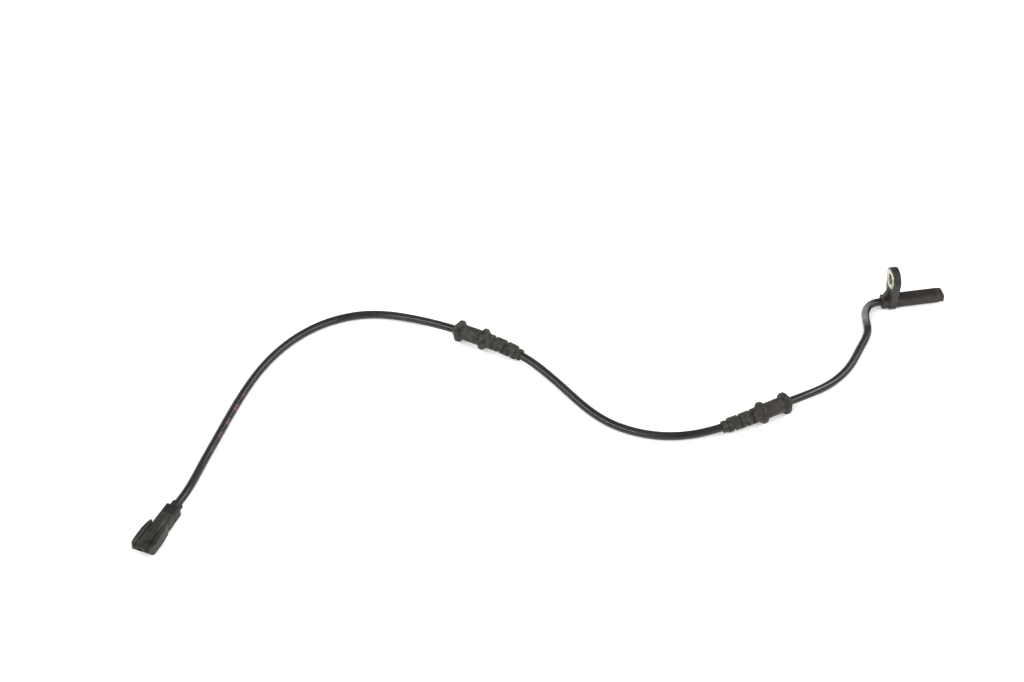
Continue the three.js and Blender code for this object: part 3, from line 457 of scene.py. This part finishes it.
@dataclass(frozen=True)
class Sheet:
    """A closed surface on a grid of points in millimetres.

    Columns run round and close. Rows close too where `ring` is set, and otherwise each end of them has one
    flat face. `along` gives each row's distance for the unrolled map, where there is one.
    """

    points: Array
    ring: bool = False
    along: Array | None = None

    def volume(self) -> float:
        """Signed volume: a sum over the quads of a . (b x c) + a . (c x d), with a fan over each end."""
        grid = self.points - self.points.reshape(-1, 3).mean(0)
        a, d = grid, np.roll(grid, -1, axis=0)
        b, c = np.roll(a, -1, axis=1), np.roll(d, -1, axis=1)
        rows = slice(None) if self.ring else slice(0, -1)
        a, b, c, d = a[rows], b[rows], c[rows], d[rows]
        total = np.sum(a * np.cross(b, c)) + np.sum(a * np.cross(c, d))
        if not self.ring:
            for end, way in ((grid[0], -1.0), (grid[-1], 1.0)):
                middle = np.broadcast_to(end.mean(0), end.shape)
                total += way * np.sum(middle * np.cross(end, np.roll(end, -1, axis=0)))
        return float(total / 6)

    def outwards(self) -> Sheet:
        """The same surface with its faces turned out, by running the columns the other way if needed."""
        if self.volume() > 0:
            return self
        return Sheet(self.points[:, ::-1], self.ring, self.along)

    def faces(self) -> tuple[list[tuple[int, ...]], Array]:
        """Faces of the grid, and the unrolled map's place of each of their corners.

        Returns:
            The faces as tuples of point numbers, and an array of corners by two.
        """
        rows, columns = self.points.shape[:2]
        steps = rows if self.ring else rows - 1
        row, column = np.meshgrid(np.arange(steps), np.arange(columns), indexing="ij")
        corner_rows = np.stack([row, row, row + 1, row + 1], -1)
        corner_columns = np.stack([column, column + 1, column + 1, column], -1)
        index = (corner_rows % rows) * columns + corner_columns % columns
        faces = [tuple(face) for face in index.reshape(-1, 4).tolist()]
        along = np.arange(rows, dtype=float) if self.along is None else self.along
        place = np.stack([corner_columns / columns, along[corner_rows % rows]], -1).reshape(-1, 2)
        if not self.ring:
            first = np.arange(columns)[::-1]
            last = (rows - 1) * columns + np.arange(columns)
            faces += [tuple(first.tolist()), tuple(last.tolist())]
            place = np.concatenate([place, np.zeros((2 * columns, 2))])
        return faces, place


def make_piece(
    name: str,
    sheets: list[Sheet],
    finish: Finish,
    stands_for: tuple[str, ...],
    crease: float = 35.0,
) -> Piece:
    """Makes one object of closed surfaces, dressed and riding on the sensor.

    Args:
        name: the piece's name.
        sheets: its surfaces, in millimetres in the row frame.
        finish: its finish.
        stands_for: the frame's nodes that it replaces.
        crease: edges sharper than this many degrees stay sharp.

    Returns:
        The object.
    """
    sheets = [sheet.outwards() for sheet in sheets]
    faces: list[tuple[int, ...]] = []
    places: list[Array] = []
    start = 0
    for sheet in sheets:
        own, place = sheet.faces()
        faces += [tuple(number + start for number in face) for face in own]
        places.append(place)
        start += sheet.points.shape[0] * sheet.points.shape[1]
    points = np.concatenate([sheet.points.reshape(-1, 3) for sheet in sheets]) * MM
    mesh = bpy.data.meshes.new(name)
    mesh.from_pydata(points.tolist(), [], faces)
    layer = mesh.uv_layers.new(name="unrolled")
    layer.data.foreach_set("uv", np.concatenate(places).astype(np.float32).ravel())
    mesh.materials.append(finish.build())
    mesh.shade_smooth()
    mesh.set_sharp_from_angle(angle=float(np.radians(crease)))
    piece = bpy.data.objects.new(name, mesh)
    bpy.context.scene.collection.objects.link(piece)
    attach(piece, ROOT)
    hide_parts(*stands_for)
    log.info("%s: %d faces", name, len(faces))
    return piece


def dress(dressing: Dressing) -> list[Piece]:
    """Gives the frame's own nodes their finishes.

    Args:
        dressing: finishes with the names of the nodes that wear them.

    Returns:
        The nodes.
    """
    pieces: list[Piece] = []
    for finish, names in dressing:
        material = finish.build()
        for name in names:
            pieces.append(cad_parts[name])
            pieces[-1].data.materials.clear()
            pieces[-1].data.materials.append(material)
            log.info("%s: %s", name, finish.name)
    return pieces


def rounding(size: float, steps: int = 5) -> tuple[Array, Array]:
    """A quarter-round edge, from the sine and cosine of equal turns.

    Args:
        size: its radius.
        steps: how many rows it has.

    Returns:
        How far each row is behind the end face, and how far it is drawn in, from the end face on.
    """
    turn = np.linspace(np.pi / 2, 0, steps)
    return size * (1 - np.sin(turn)), size * (1 - np.cos(turn))


def bar(
    x: Array,
    half_width: Array | float,
    low: Array | float,
    high: Array | float,
    corner: Array | float,
    steps: int = 7,
) -> Array:
    """A bar along x whose section is a rectangle with round corners.

    Each corner is its centre plus corner * (cos a, sin a), with a running through a quarter turn, and the
    centre lies one corner radius inside the side and the top or bottom.

    Args:
        x: the place of each row.
        half_width: half the width, of all rows or of each, as are the next three.
        low: the bottom.
        high: the top.
        corner: the corners' radius.
        steps: points on each corner.

    Returns:
        Points of rows by four times `steps` by three.
    """
    x, half_width, low, high, corner = np.broadcast_arrays(x, half_width, low, high, corner)
    turn = np.linspace(0, np.pi / 2, steps)
    angle = (turn[None, :] + np.arange(4)[:, None] * np.pi / 2).ravel()
    side = np.repeat([1, -1, -1, 1], steps)
    upper = np.repeat([True, True, False, False], steps)
    r = corner[:, None]
    y = side * (half_width[:, None] - r) + r * np.cos(angle)
    z = np.where(upper, high[:, None] - r, low[:, None] + r) + r * np.sin(angle)
    return np.stack([np.broadcast_to(x[:, None], y.shape), y, z], -1)


def turned(x: Array, radius: Array, columns: int) -> Array:
    """A profile turned round the x axis: (x, r cos a, r sin a).

    Args:
        x: the place of each row.
        radius: the radius at each row, or at each row and column.
        columns: points round.

    Returns:
        Points of rows by columns by three.
    """
    angle = np.arange(columns) * 2 * np.pi / columns
    r = np.broadcast_to(radius.reshape(len(x), -1), (len(x), columns))
    return np.stack([np.broadcast_to(x[:, None], r.shape), r * np.cos(angle), r * np.sin(angle)], -1)


def run_of(points: Array) -> Array:
    """How far along the line through them each of the points is, from nought."""
    return np.concatenate([[0], np.cumsum(np.linalg.norm(np.diff(points, axis=0), axis=1))])


@dataclass
class LeadPath:
    """Centreline of the lead: a cubic in each span between chosen points, with its bend unbroken.

    The slopes m solve m[i-1]/a + 2 m[i] (1/a + 1/b) + m[i+1]/b = 3 (p[i]-p[i-1])/a^2 + 3 (p[i+1]-p[i])/b^2,
    with a and b the spans before and after point i and the slope given at each end.
    """

    points: Array
    start_way: Array
    end_way: Array
    samples: int = 8000
    nudge: float = 0.05
    place: Array = field(init=False)
    distance: Array = field(init=False)

    def __post_init__(self) -> None:
        """Works the centreline out once, as many close points with their distance along it."""
        p = self.points
        knots = run_of(p)
        span = np.diff(knots)
        last = len(p) - 1
        system = np.eye(last + 1)
        pull = np.zeros_like(p)
        pull[0], pull[-1] = self.start_way, self.end_way
        inner = np.arange(1, last)
        before, after = span[:-1], span[1:]
        system[inner, inner - 1] = 1 / before
        system[inner, inner] = 2 / before + 2 / after
        system[inner, inner + 1] = 1 / after
        rise = np.diff(p, axis=0)
        pull[inner] = 3 * (rise[:-1] / before[:, None] ** 2 + rise[1:] / after[:, None] ** 2)
        slope = np.linalg.solve(system, pull)
        t = np.linspace(0, knots[-1], self.samples)
        i = np.clip(np.searchsorted(knots, t, side="right") - 1, 0, last - 1)
        u = ((t - knots[i]) / span[i])[:, None]
        width = span[i][:, None]
        self.place = (
            p[i] * (1 + 2 * u) * (1 - u) ** 2
            + slope[i] * width * u * (1 - u) ** 2
            + p[i + 1] * u * u * (3 - 2 * u)
            + slope[i + 1] * width * u * u * (u - 1)
        )
        self.distance = run_of(self.place)

    @property
    def length(self) -> float:
        """Length of the centreline."""
        return float(self.distance[-1])

    def at(self, distance: Array) -> tuple[Array, Array, Array]:
        """Places on the centreline with their directions.

        The way along is the line from the place a `nudge` behind to the one a `nudge` ahead.

        Args:
            distance: how far along each place is.

        Returns:
            The places, and the unit vectors to the left and up at each.
        """
        behind, place, ahead = (
            np.stack([np.interp(distance + step, self.distance, axis) for axis in self.place.T], -1)
            for step in (-self.nudge, 0.0, self.nudge)
        )
        along = ahead - behind
        along /= np.linalg.norm(along, axis=-1, keepdims=True)
        left = np.cross([0.0, 0.0, 1.0], along)
        left /= np.linalg.norm(left, axis=-1, keepdims=True)
        return place, left, np.cross(along, left)

    def carry(self, points: Array, start: float, way: int = 1) -> Array:
        """Bends points that are drawn along x, so that their x runs along the centreline.

        Args:
            points: the points, with x measured from `start`.
            start: a distance along the centreline.
            way: 1 where +x runs on along the lead, and -1 where it runs back.

        Returns:
            The bent points.
        """
        flat = points.reshape(-1, 3)
        centre, left, up = self.at(start + way * flat[:, 0])
        return (centre + left * (way * flat[:, 1:2]) + up * flat[:, 2:3]).reshape(points.shape)


@dataclass
class Lead:
    """The sensor's lead, and the way it takes over the bench.

    Each row of `laid` is x, y, and how far the lead is lifted, from lying flat (0) to where a grommet's
    discs carry it (1).
    """

    diameter: float = 5.0
    exit_x: float = -20.15
    grip: float = 6.5
    head_height: float = 4.6
    lying: float = 2.65
    carried: float = 6.875
    entry: tuple[float, float, float] = (-467.5, -97.2, 4.5)
    heading_deg: float = -123.5
    lead_in: float = 10.0
    plug_grip: float = 4.5
    columns: int = 28
    row_mm: float = 0.7
    path_points: int = 900
    laid: tuple[tuple[float, float, float], ...] = (
        (-24.2, -0.3, 0.45), (-28, -1.9, 0.4), (-30.9, -4.8, 0.3), (-32.6, -8.5, 0.19),
        (-34.9, -21.3, 0.02), (-44, -36.8, 0), (-55.5, -52.2, 0), (-70.7, -64.7, 0.04),
        (-87.6, -74, 0.62), (-105.6, -81.2, 1), (-121, -86.6, 1), (-140.9, -91.7, 0.71),
        (-160.9, -93.4, 0.22), (-180.8, -90.8, 0), (-195.5, -84.9, 0), (-209.5, -74.4, 0),
        (-220.1, -60.3, 0), (-228.5, -44.2, 0), (-237.8, -26.3, 0.06), (-246.2, -14.2, 0.36),
        (-256.5, -3.8, 0.74), (-271.5, 8.2, 1), (-284.5, 18.2, 1), (-303.8, 33.5, 0.4),
        (-320.8, 43.6, 0.02), (-337.5, 48.1, 0), (-354.8, 47.4, 0), (-371.8, 41.8, 0),
        (-388.8, 30.8, 0), (-404.6, 14.9, 0), (-418.4, -4.9, 0), (-430.5, -26.4, 0),
        (-441.9, -48.4, 0), (-452, -68.3, 0.05),
    )
    path: LeadPath = field(init=False)

    def __post_init__(self) -> None:
        """Joins the chosen points to the head's exit and the plug's entry."""
        heading = np.radians(self.heading_deg)
        into_plug = np.array([np.cos(heading), np.sin(heading), 0.0])
        x, y, share = np.array(self.laid, float).T
        on_bench = np.stack([x, y, self.lying + (self.carried - self.lying) * share], -1)
        head = [[self.exit_x + self.grip, 0, self.head_height], [self.exit_x, 0, self.head_height]]
        steps = np.array([-self.lead_in, 0, self.plug_grip])[:, None]
        plug = np.array(self.entry) + steps * into_plug
        points = np.concatenate([np.array(head, float), on_bench, plug])
        self.path = LeadPath(points, np.array([-1.0, 0.0, 0.0]), into_plug)

    def build(self) -> Piece:
        """Makes the jacket: circles of the lead's radius, square to its centreline."""
        rows = int(self.path.length / self.row_mm)
        along = np.linspace(0, self.path.length, rows)
        tube = turned(along, np.full(rows, self.diameter / 2), self.columns)
        skin = Sheet(self.path.carry(tube, 0.0), along=along)
        return make_piece("lead_jacket", [skin], JACKET, ("cable",))

    def declare(self) -> None:
        """Works out points along the lead's centreline, in metres, and uses them for nothing.
        """
        places = self.path.at(np.linspace(0, self.path.length, self.path_points))[0] * MM


@dataclass
class Grommet:
    """Moulded rubber grommet: two discs that clip into a bracket, and a slotted boot that flexes.

    The boot falls from `boot_root` to `boot_end`, and over `tip_step` to `tip`. A slot runs `overcut` past
    the axis, and its sides take `slot_side` and its foot `slot_foot` to reach its depth.
    """

    name: str
    node: str
    from_head: float
    facing: Facing
    disc: float = 13.6
    disc_thickness: float = 2.1
    spacing: float = 16.4
    waist: float = 8.9
    cone: float = 3.4
    cone_bow: float = 0.8
    tail: float = 7.4
    boot: float = 26.4
    boot_root: float = 9.4
    boot_end: float = 8.8
    tip: float = 7.4
    tip_step: float = 0.2
    core: float = 6.7
    slot: float = 1.9
    slots: int = 5
    first_slot: float = 7.4
    pitch: float = 3.95
    overcut: float = 1.2
    slot_side: float = 0.25
    slot_foot: float = 0.35
    rounding: float = 0.4
    bore: float = 5.04
    columns: int = 120
    arc_rows: int = 6
    cone_rows: int = 8
    boot_rows: int = 180
    bore_rows: int = 120
    crease: float = 40.0

    def disc_outline(self, cone_end: float) -> Array:
        """Half section of one disc, from the waist over the rim to the end of the cone behind it.

        Every corner is an arc of `rounding` radius: its centre plus that times (cos a, sin a).

        Args:
            cone_end: the diameter at the cone's end.

        Returns:
            Points as [x, radius] from the disc's middle.
        """
        half, rim, soft = self.disc_thickness / 2, self.disc / 2, self.rounding
        arc = np.linspace(0, np.pi / 2, self.arc_rows)
        cos, sin = soft * np.cos(arc), soft * np.sin(arc)
        fillet = np.stack([half + soft - cos, self.waist / 2 + soft - sin], -1)
        inner = np.stack([half - soft + cos, rim - soft + sin], -1)
        outer = np.stack([-half + soft - sin, rim - soft + cos], -1)
        share = np.linspace(0, 1, self.cone_rows)[1:]
        fall = (cone_end / 2 - rim + soft) * share**self.cone_bow
        slope = np.stack([-half - share * (self.cone - half), rim - soft + fall], -1)
        return np.concatenate([fillet, inner, outer, slope])

    def outline(self) -> tuple[Array, Array]:
        """Outside of the grommet from its tail to the end of its boot, as x and radius."""
        tail = self.disc_outline(self.tail)[::-1]
        head = self.disc_outline(self.boot_root)
        head[:, 0] = self.spacing - head[:, 0]
        root, end, soft = self.spacing + self.cone, self.spacing + self.boot, self.rounding
        arc = np.linspace(0, np.pi / 2, self.arc_rows)
        tip = np.stack([end - soft + soft * np.sin(arc), self.tip / 2 - soft + soft * np.cos(arc)], -1)
        x = np.linspace(root, end - soft, self.boot_rows)[1:-1]
        step = self.slot_middles()[-1]
        places = [root, step, step + self.tip_step, end]
        radii = np.array([self.boot_root, self.boot_end, self.tip, self.tip]) / 2
        run = np.stack([x, np.interp(x, places, radii)], -1)
        whole = np.concatenate([tail, head, run, tip])
        return whole[:, 0], whole[:, 1]

    def slot_middles(self) -> Array:
        """Where the middle of each slot of the boot is."""
        return self.spacing + self.first_slot + self.pitch * np.arange(self.slots)

    def build(self, lead: Lead) -> Piece:
        """Makes the grommet on the lead.

        The radius is the outline's, less the slots: each draws it in to the core over its width, from above
        and from below by turns.

        Args:
            lead: the lead that carries it.

        Returns:
            The object.
        """
        x, radius = self.outline()
        angle = np.arange(self.columns) * 2 * np.pi / self.columns
        outside = np.repeat(radius[:, None], self.columns, axis=1)
        for number, middle in enumerate(self.slot_middles()):
            lip = np.clip((self.slot / 2 - np.abs(x - middle)) / self.slot_side, 0, 1)
            height = (-1) ** number * np.sin(angle) * radius[:, None]
            gap = np.clip((height + self.overcut) / self.slot_foot, 0, 1)
            outside -= (radius - self.core / 2)[:, None] * np.sqrt(lip)[:, None] * np.sqrt(gap)
        bore_x = np.linspace(self.spacing + self.boot, -self.cone, self.bore_rows)
        inside = np.full((self.bore_rows, self.columns), self.bore / 2)
        skin = turned(np.concatenate([x, bore_x]), np.concatenate([outside, inside]), self.columns)
        bent = Sheet(lead.path.carry(skin, lead.grip + self.from_head, self.facing.value), ring=True)
        return make_piece(self.name, [bent], RUBBER, (self.node,), self.crease)


@dataclass
class Head:
    """The sensor's head: rear body, mounting plate with its bolt ear, gusset and hollow probe.

    Rises are from the probe's axis, which is `height` over the bench. Bodies that join the plate run
    `overlap` into it, and `hair` keeps rows apart that would otherwise fall on each other.
    """

    height: float = 4.6
    overlap: float = 1.0
    hair: float = 0.05
    edge: float = 0.45
    rear_x: float = -20.15
    rear_length: float = 4.4
    rear_width: float = 7.8
    rear_height: float = 7.1
    rear_corner: float = 1.5
    rear_edge: float = 0.5
    plate: float = 4.7
    foot_width: float = 10.4
    foot_corner: float = 3.4
    ear_rise: float = 17.9
    ear_radius: float = 7.6
    ear_points: int = 60
    foot_points: int = 16
    plate_points: int = 240
    gusset_rise: float = 7.5
    gusset_length: float = 4.0
    gusset_width: float = 3.0
    gusset_corner: float = 0.35
    probe_length: float = 31.2
    probe_width: float = 7.4
    probe_height: float = 6.9
    probe_corner: float = 1.0
    least_corner: float = 0.3
    probe_rows: int = 20
    fillet: float = 0.6
    fillet_rows: int = 7
    tip_length: float = 3.6
    tip_step: float = 0.2
    tip_ramp: float = 0.15
    tip_chamfer: float = 1.5
    tip_rows: int = 8
    hole_gap: float = 0.02
    hole_chamfer: float = 0.15
    bush: float = 12.7
    bush_bore: float = 6.6
    bush_proud: float = 0.2
    bush_chamfer: float = 0.5
    bush_edge: float = 0.2
    bush_shoulder: Span = (0.05, 0.1)
    bush_columns: int = 96
    inside: Dressing = (
        (PBT, ("element_carrier",)),
        (EPOXY, ("sensing_element",)),
        (FERRITE, ("bias_magnet",)),
        (BRASS, ("head_terminal_a", "head_terminal_b")),
        (RED_CORE, ("head_core_a",)),
        (BLUE_CORE, ("head_core_b",)),
    )

    @property
    def plate_x(self) -> Span:
        """Rear and front face of the mounting plate."""
        rear = self.rear_x + self.rear_length
        return rear, rear + self.plate

    def plate_outline(self) -> Array:
        """Outline of the plate across the head, evenly spaced: a round ear with tangent flanks, on a foot.

        The flanks touch the ear where its radius is square to them, which is `touch` round from the side.

        Returns:
            Points as [y, z] from the probe's axis.
        """
        half, corner, low = self.foot_width / 2, self.foot_corner, -self.height
        rise, radius = self.ear_rise, self.ear_radius
        shoulder = low + self.probe_height
        reach = np.hypot(half, rise - shoulder)
        touch = np.arctan2(shoulder - rise, half) + np.arccos(radius / reach)
        ear = np.linspace(touch, np.pi - touch, self.ear_points)
        turn = np.linspace(-np.pi / 2, 0, self.foot_points)
        right = np.stack([half - corner + corner * np.cos(turn), low + corner + corner * np.sin(turn)], -1)
        round_ear = np.stack([radius * np.cos(ear), rise + radius * np.sin(ear)], -1)
        left = right[::-1] * [-1, 1]
        corners = np.concatenate(
            [right, [[half, shoulder]], round_ear, [[-half, shoulder]], left, right[:1]]
        )
        run = run_of(corners)
        even = np.linspace(0, run[-1], self.plate_points, endpoint=False)
        return np.stack([np.interp(even, run, axis) for axis in corners.T], -1)

    def plate_sheet(self) -> Sheet:
        """The plate as a ring: round its outline, and across it over the edges, faces and hole.

        The edges' rows are the outline moved in along its normal by a quarter-round, and the hole's rows
        are circles with the same directions from the bolt's axis.
        """
        outline = self.plate_outline()
        tangent = np.roll(outline, -1, axis=0) - np.roll(outline, 1, axis=0)
        inward = np.stack([-tangent[:, 1], tangent[:, 0]], -1)
        inward /= np.linalg.norm(inward, axis=1, keepdims=True)
        axis = np.array([0.0, self.ear_rise])
        way = outline - axis
        way /= np.linalg.norm(way, axis=1, keepdims=True)
        rear, front = self.plate_x
        behind, drawn = rounding(self.edge)
        cut = self.hole_chamfer
        hole = self.bush / 2 + self.hole_gap
        rows = [(rear + b, outline + inward * d) for b, d in zip(behind, drawn)]
        rows += [(front - b, outline + inward * d) for b, d in zip(behind[::-1], drawn[::-1])]
        rows += [(front, axis + way * (hole + cut)), (front - cut, axis + way * hole)]
        rows += [(rear + cut, axis + way * hole), (rear, axis + way * (hole + cut))]
        return Sheet(np.stack([np.column_stack([np.full(len(p), x), p]) for x, p in rows]), ring=True)

    def rear_sheet(self) -> Sheet:
        """The rear body: a bar with a quarter-round rear edge, run into the plate."""
        behind, drawn = rounding(self.rear_edge)
        x = np.concatenate([self.rear_x + behind, [self.plate_x[0] + self.overlap]])
        inset = np.concatenate([drawn, [0]])
        half = self.rear_height / 2 - inset
        return Sheet(bar(x, self.rear_width / 2 - inset, -half, half, self.rear_corner - inset / 2))

    def gusset_sheet(self) -> Sheet:
        """The gusset: a thin bar whose top climbs to the plate in a straight line."""
        rear, half = self.plate_x[0], self.rear_height / 2
        x = np.array([rear - self.gusset_length, rear, rear + self.overlap])
        top = half + np.array([self.hair, self.gusset_rise, self.gusset_rise])
        return Sheet(bar(x, self.gusset_width / 2, half - self.overlap, top, self.gusset_corner))

    def probe_sheet(self) -> Sheet:
        """The probe: a bar that flares into the plate and is drawn in, chamfered and rounded at its tip."""
        start, end = self.plate_x[1], self.plate_x[1] + self.probe_length
        flare = np.linspace(0, np.pi / 2, self.fillet_rows)
        flare_x = start + self.fillet * (1 - np.cos(flare))
        flare_out = self.fillet * (1 - np.sin(flare))
        step = end - self.tip_length
        behind, drawn = rounding(self.edge)
        along = np.linspace(start + self.overlap, step - self.tip_ramp, self.probe_rows)
        drawn_in = np.linspace(step + self.tip_ramp, end - self.edge - self.hair, self.tip_rows)
        x = np.concatenate([[start - self.overlap], flare_x, along, drawn_in, (end - behind)[::-1]])
        inset = np.concatenate([
            [-self.fillet], -flare_out, np.zeros(self.probe_rows), np.full(self.tip_rows, self.tip_step),
            self.tip_step + drawn[::-1],
        ])
        half = self.probe_height / 2
        chamfer = half - (x - (end - self.tip_chamfer)) - np.maximum(inset - self.tip_step, 0)
        high = np.minimum(half - inset, chamfer)
        corner = np.clip(self.probe_corner - np.maximum(inset, 0), self.least_corner, None)
        return Sheet(bar(x, self.probe_width / 2 - inset, -half + inset, high, corner))

    def bush_sheet(self) -> Sheet:
        """The bush: a ring round the bolt's axis with chamfered edges inside and rounded ones outside."""
        end, outer, bore = self.plate / 2 + self.bush_proud, self.bush / 2, self.bush_bore / 2
        soft, cut = self.bush_edge, self.bush_chamfer
        back, down = self.bush_shoulder
        x = np.array([end - soft, end - back, end, end, end - cut])
        radius = np.array([outer, outer - down, outer - soft, bore + cut, bore])
        both_x, both_radius = np.concatenate([-x, x[::-1]]), np.concatenate([radius, radius[::-1]])
        middle = [sum(self.plate_x) / 2, 0.0, self.ear_rise]
        return Sheet(turned(both_x, both_radius, self.bush_columns) + middle, ring=True)

    def lifted(self, *sheets: Sheet) -> list[Sheet]:
        """The sheets raised from the probe's axis to its height over the bench."""
        return [Sheet(sheet.points + [0.0, 0.0, self.height], sheet.ring) for sheet in sheets]

    def build(self) -> None:
        """Makes the housing and its bush, and dresses what the probe holds."""
        moulding = self.lifted(
            self.plate_sheet(), self.rear_sheet(), self.gusset_sheet(), self.probe_sheet()
        )
        make_piece("head_moulding", moulding, HEAD_NYLON, ("head_housing",))
        bush = self.lifted(self.bush_sheet())
        make_piece("bolt_bush", bush, BUSH_STEEL, ("ear_bush",))
        dress(self.inside)


@dataclass
class Plug:
    """The sealed plug: sleeve and neck over the lead, housing with guards and latch, and what it holds."""

    parts: Dressing = (
        (COVER_NYLON, ("plug_rear_cover",)),
        (PLUG_NYLON, ("plug_housing",)),
        (PBT, ("plug_terminal_lock",)),
        (SILICONE, ("plug_wire_seal", "plug_front_seal")),
        (BRASS, ("plug_terminal_a", "plug_terminal_b")),
        (RED_CORE, ("plug_core_a",)),
        (BLUE_CORE, ("plug_core_b",)),
    )

    def build(self) -> list[Piece]:
        """Dresses the plug's parts, and returns the pieces that hang on the lead."""
        return dress(self.parts)


@dataclass
class Studio:
    """The photograph's stand: a white sheet, two soft boxes in a light tent, and the camera.

    The boxes are given as directions: `box_rise` is the z of their middle, `box_half` half their height,
    `box_soft` and `box_reach` how their edges fade, and `box_turn_deg` their turn to the front.
    """

    camera_at: tuple[float, float, float] = (-0.4519, -1.0736, 0.9925)
    looks_at: tuple[float, float, float] = (-0.2531, 0.0106, 0.0)
    lens_mm: float = 84.375
    sensor_mm: float = 36.0
    sees_m: float = 50.0
    bench_m: float = 12.0
    bench_colour: str = "#f4f4f3"
    bench_roughness: float = 0.9
    bench_gloss: float = 0.1
    bench_glow: float = 0.35
    box_rise: float = 0.62
    box_half: float = 0.05
    box_soft: float = 0.06
    box_reach: Span = (0.5, 0.64)
    box_turn_deg: float = 15.0
    box_strength: float = 10.5
    tent_colour: str = "#fcfcfd"
    tent_strength: float = 0.4

    def camera(self) -> None:
        """Sets the camera where the photograph was taken from."""
        data = bpy.data.cameras.new("camera")
        data.lens = self.lens_mm
        data.sensor_width = self.sensor_mm
        data.sensor_fit = "HORIZONTAL"
        data.clip_end = self.sees_m
        camera = bpy.data.objects.new("camera", data)
        camera.location = self.camera_at
        aim = Vector(self.looks_at) - Vector(self.camera_at)
        camera.rotation_euler = aim.to_track_quat("-Z", "Y").to_euler()
        bpy.context.scene.collection.objects.link(camera)
        bpy.context.scene.camera = camera

    def bench(self) -> None:
        """Lays a white acrylic sheet under the sensor, lit a little from below."""
        half = self.bench_m / 2
        mesh = bpy.data.meshes.new("bench")
        corners = [(-half, -half, 0.0), (half, -half, 0.0), (half, half, 0.0), (-half, half, 0.0)]
        mesh.from_pydata(corners, [], [(0, 1, 2, 3)])
        material = bpy.data.materials.new("lit_acrylic")
        material.use_nodes = True
        shader = material.node_tree.nodes["Principled BSDF"]
        shader.inputs["Base Color"].default_value = linear(self.bench_colour)
        shader.inputs["Roughness"].default_value = self.bench_roughness
        shader.inputs["Specular IOR Level"].default_value = self.bench_gloss
        shader.inputs["Emission Color"].default_value = linear(self.bench_colour)
        shader.inputs["Emission Strength"].default_value = self.bench_glow
        mesh.materials.append(material)
        bench = bpy.data.objects.new("bench", mesh)
        bpy.context.scene.collection.objects.link(bench)

    def light(self) -> None:
        """Lights the sheet from two long soft boxes, to the left and right, in a dimmer tent.

        A direction is in the light of a box where its z is near the boxes' rise and |x| - y tan(turn) is
        large, which puts the boxes at both sides and turns them to the front.
        """
        scene = bpy.context.scene
        scene.view_settings.view_transform = "Standard"
        world = bpy.data.worlds.new("studio")
        world.use_nodes = True
        tree = world.node_tree
        x, y, z = add(tree, "SeparateXYZ", {0: add(tree, "TexCoord").outputs["Generated"]}).outputs
        off = calc(tree, "ABSOLUTE", calc(tree, "SUBTRACT", z, self.box_rise))
        level = graded(tree, off, (self.box_half + self.box_soft, self.box_half), easing="SMOOTHSTEP")
        lean = float(-np.tan(np.radians(self.box_turn_deg)))
        reach = calc(tree, "MULTIPLY_ADD", y, lean, calc(tree, "ABSOLUTE", x))
        aside = graded(tree, reach, self.box_reach, easing="SMOOTHSTEP")
        share = product(tree, level, aside)
        strength = calc(tree, "MULTIPLY_ADD", share, self.box_strength, self.tent_strength)
        background = tree.nodes["Background"]
        background.inputs["Color"].default_value = linear(self.tent_colour)
        tree.links.new(strength, background.inputs["Strength"])
        scene.world = world

    def build(self) -> None:
        """Sets camera, bench and light."""
        self.camera()
        self.bench()
        self.light()


def main() -> None:
    """Builds the stand, the lead and what it carries, then the head."""
    logging.basicConfig(level=logging.INFO, format="%(name)s: %(message)s")
    Studio().build()
    lead = Lead()
    jacket = lead.build()
    near_head = Grommet("grommet_at_head", "grommet_near_head", 124.5, Facing.TO_PLUG).build(lead)
    near_plug = Grommet("grommet_at_plug", "grommet_near_plug", 357.0, Facing.TO_HEAD).build(lead)
    carried = Plug().build()
    lead.declare()
    Head().build()


if __name__ == "__main__":
    main()
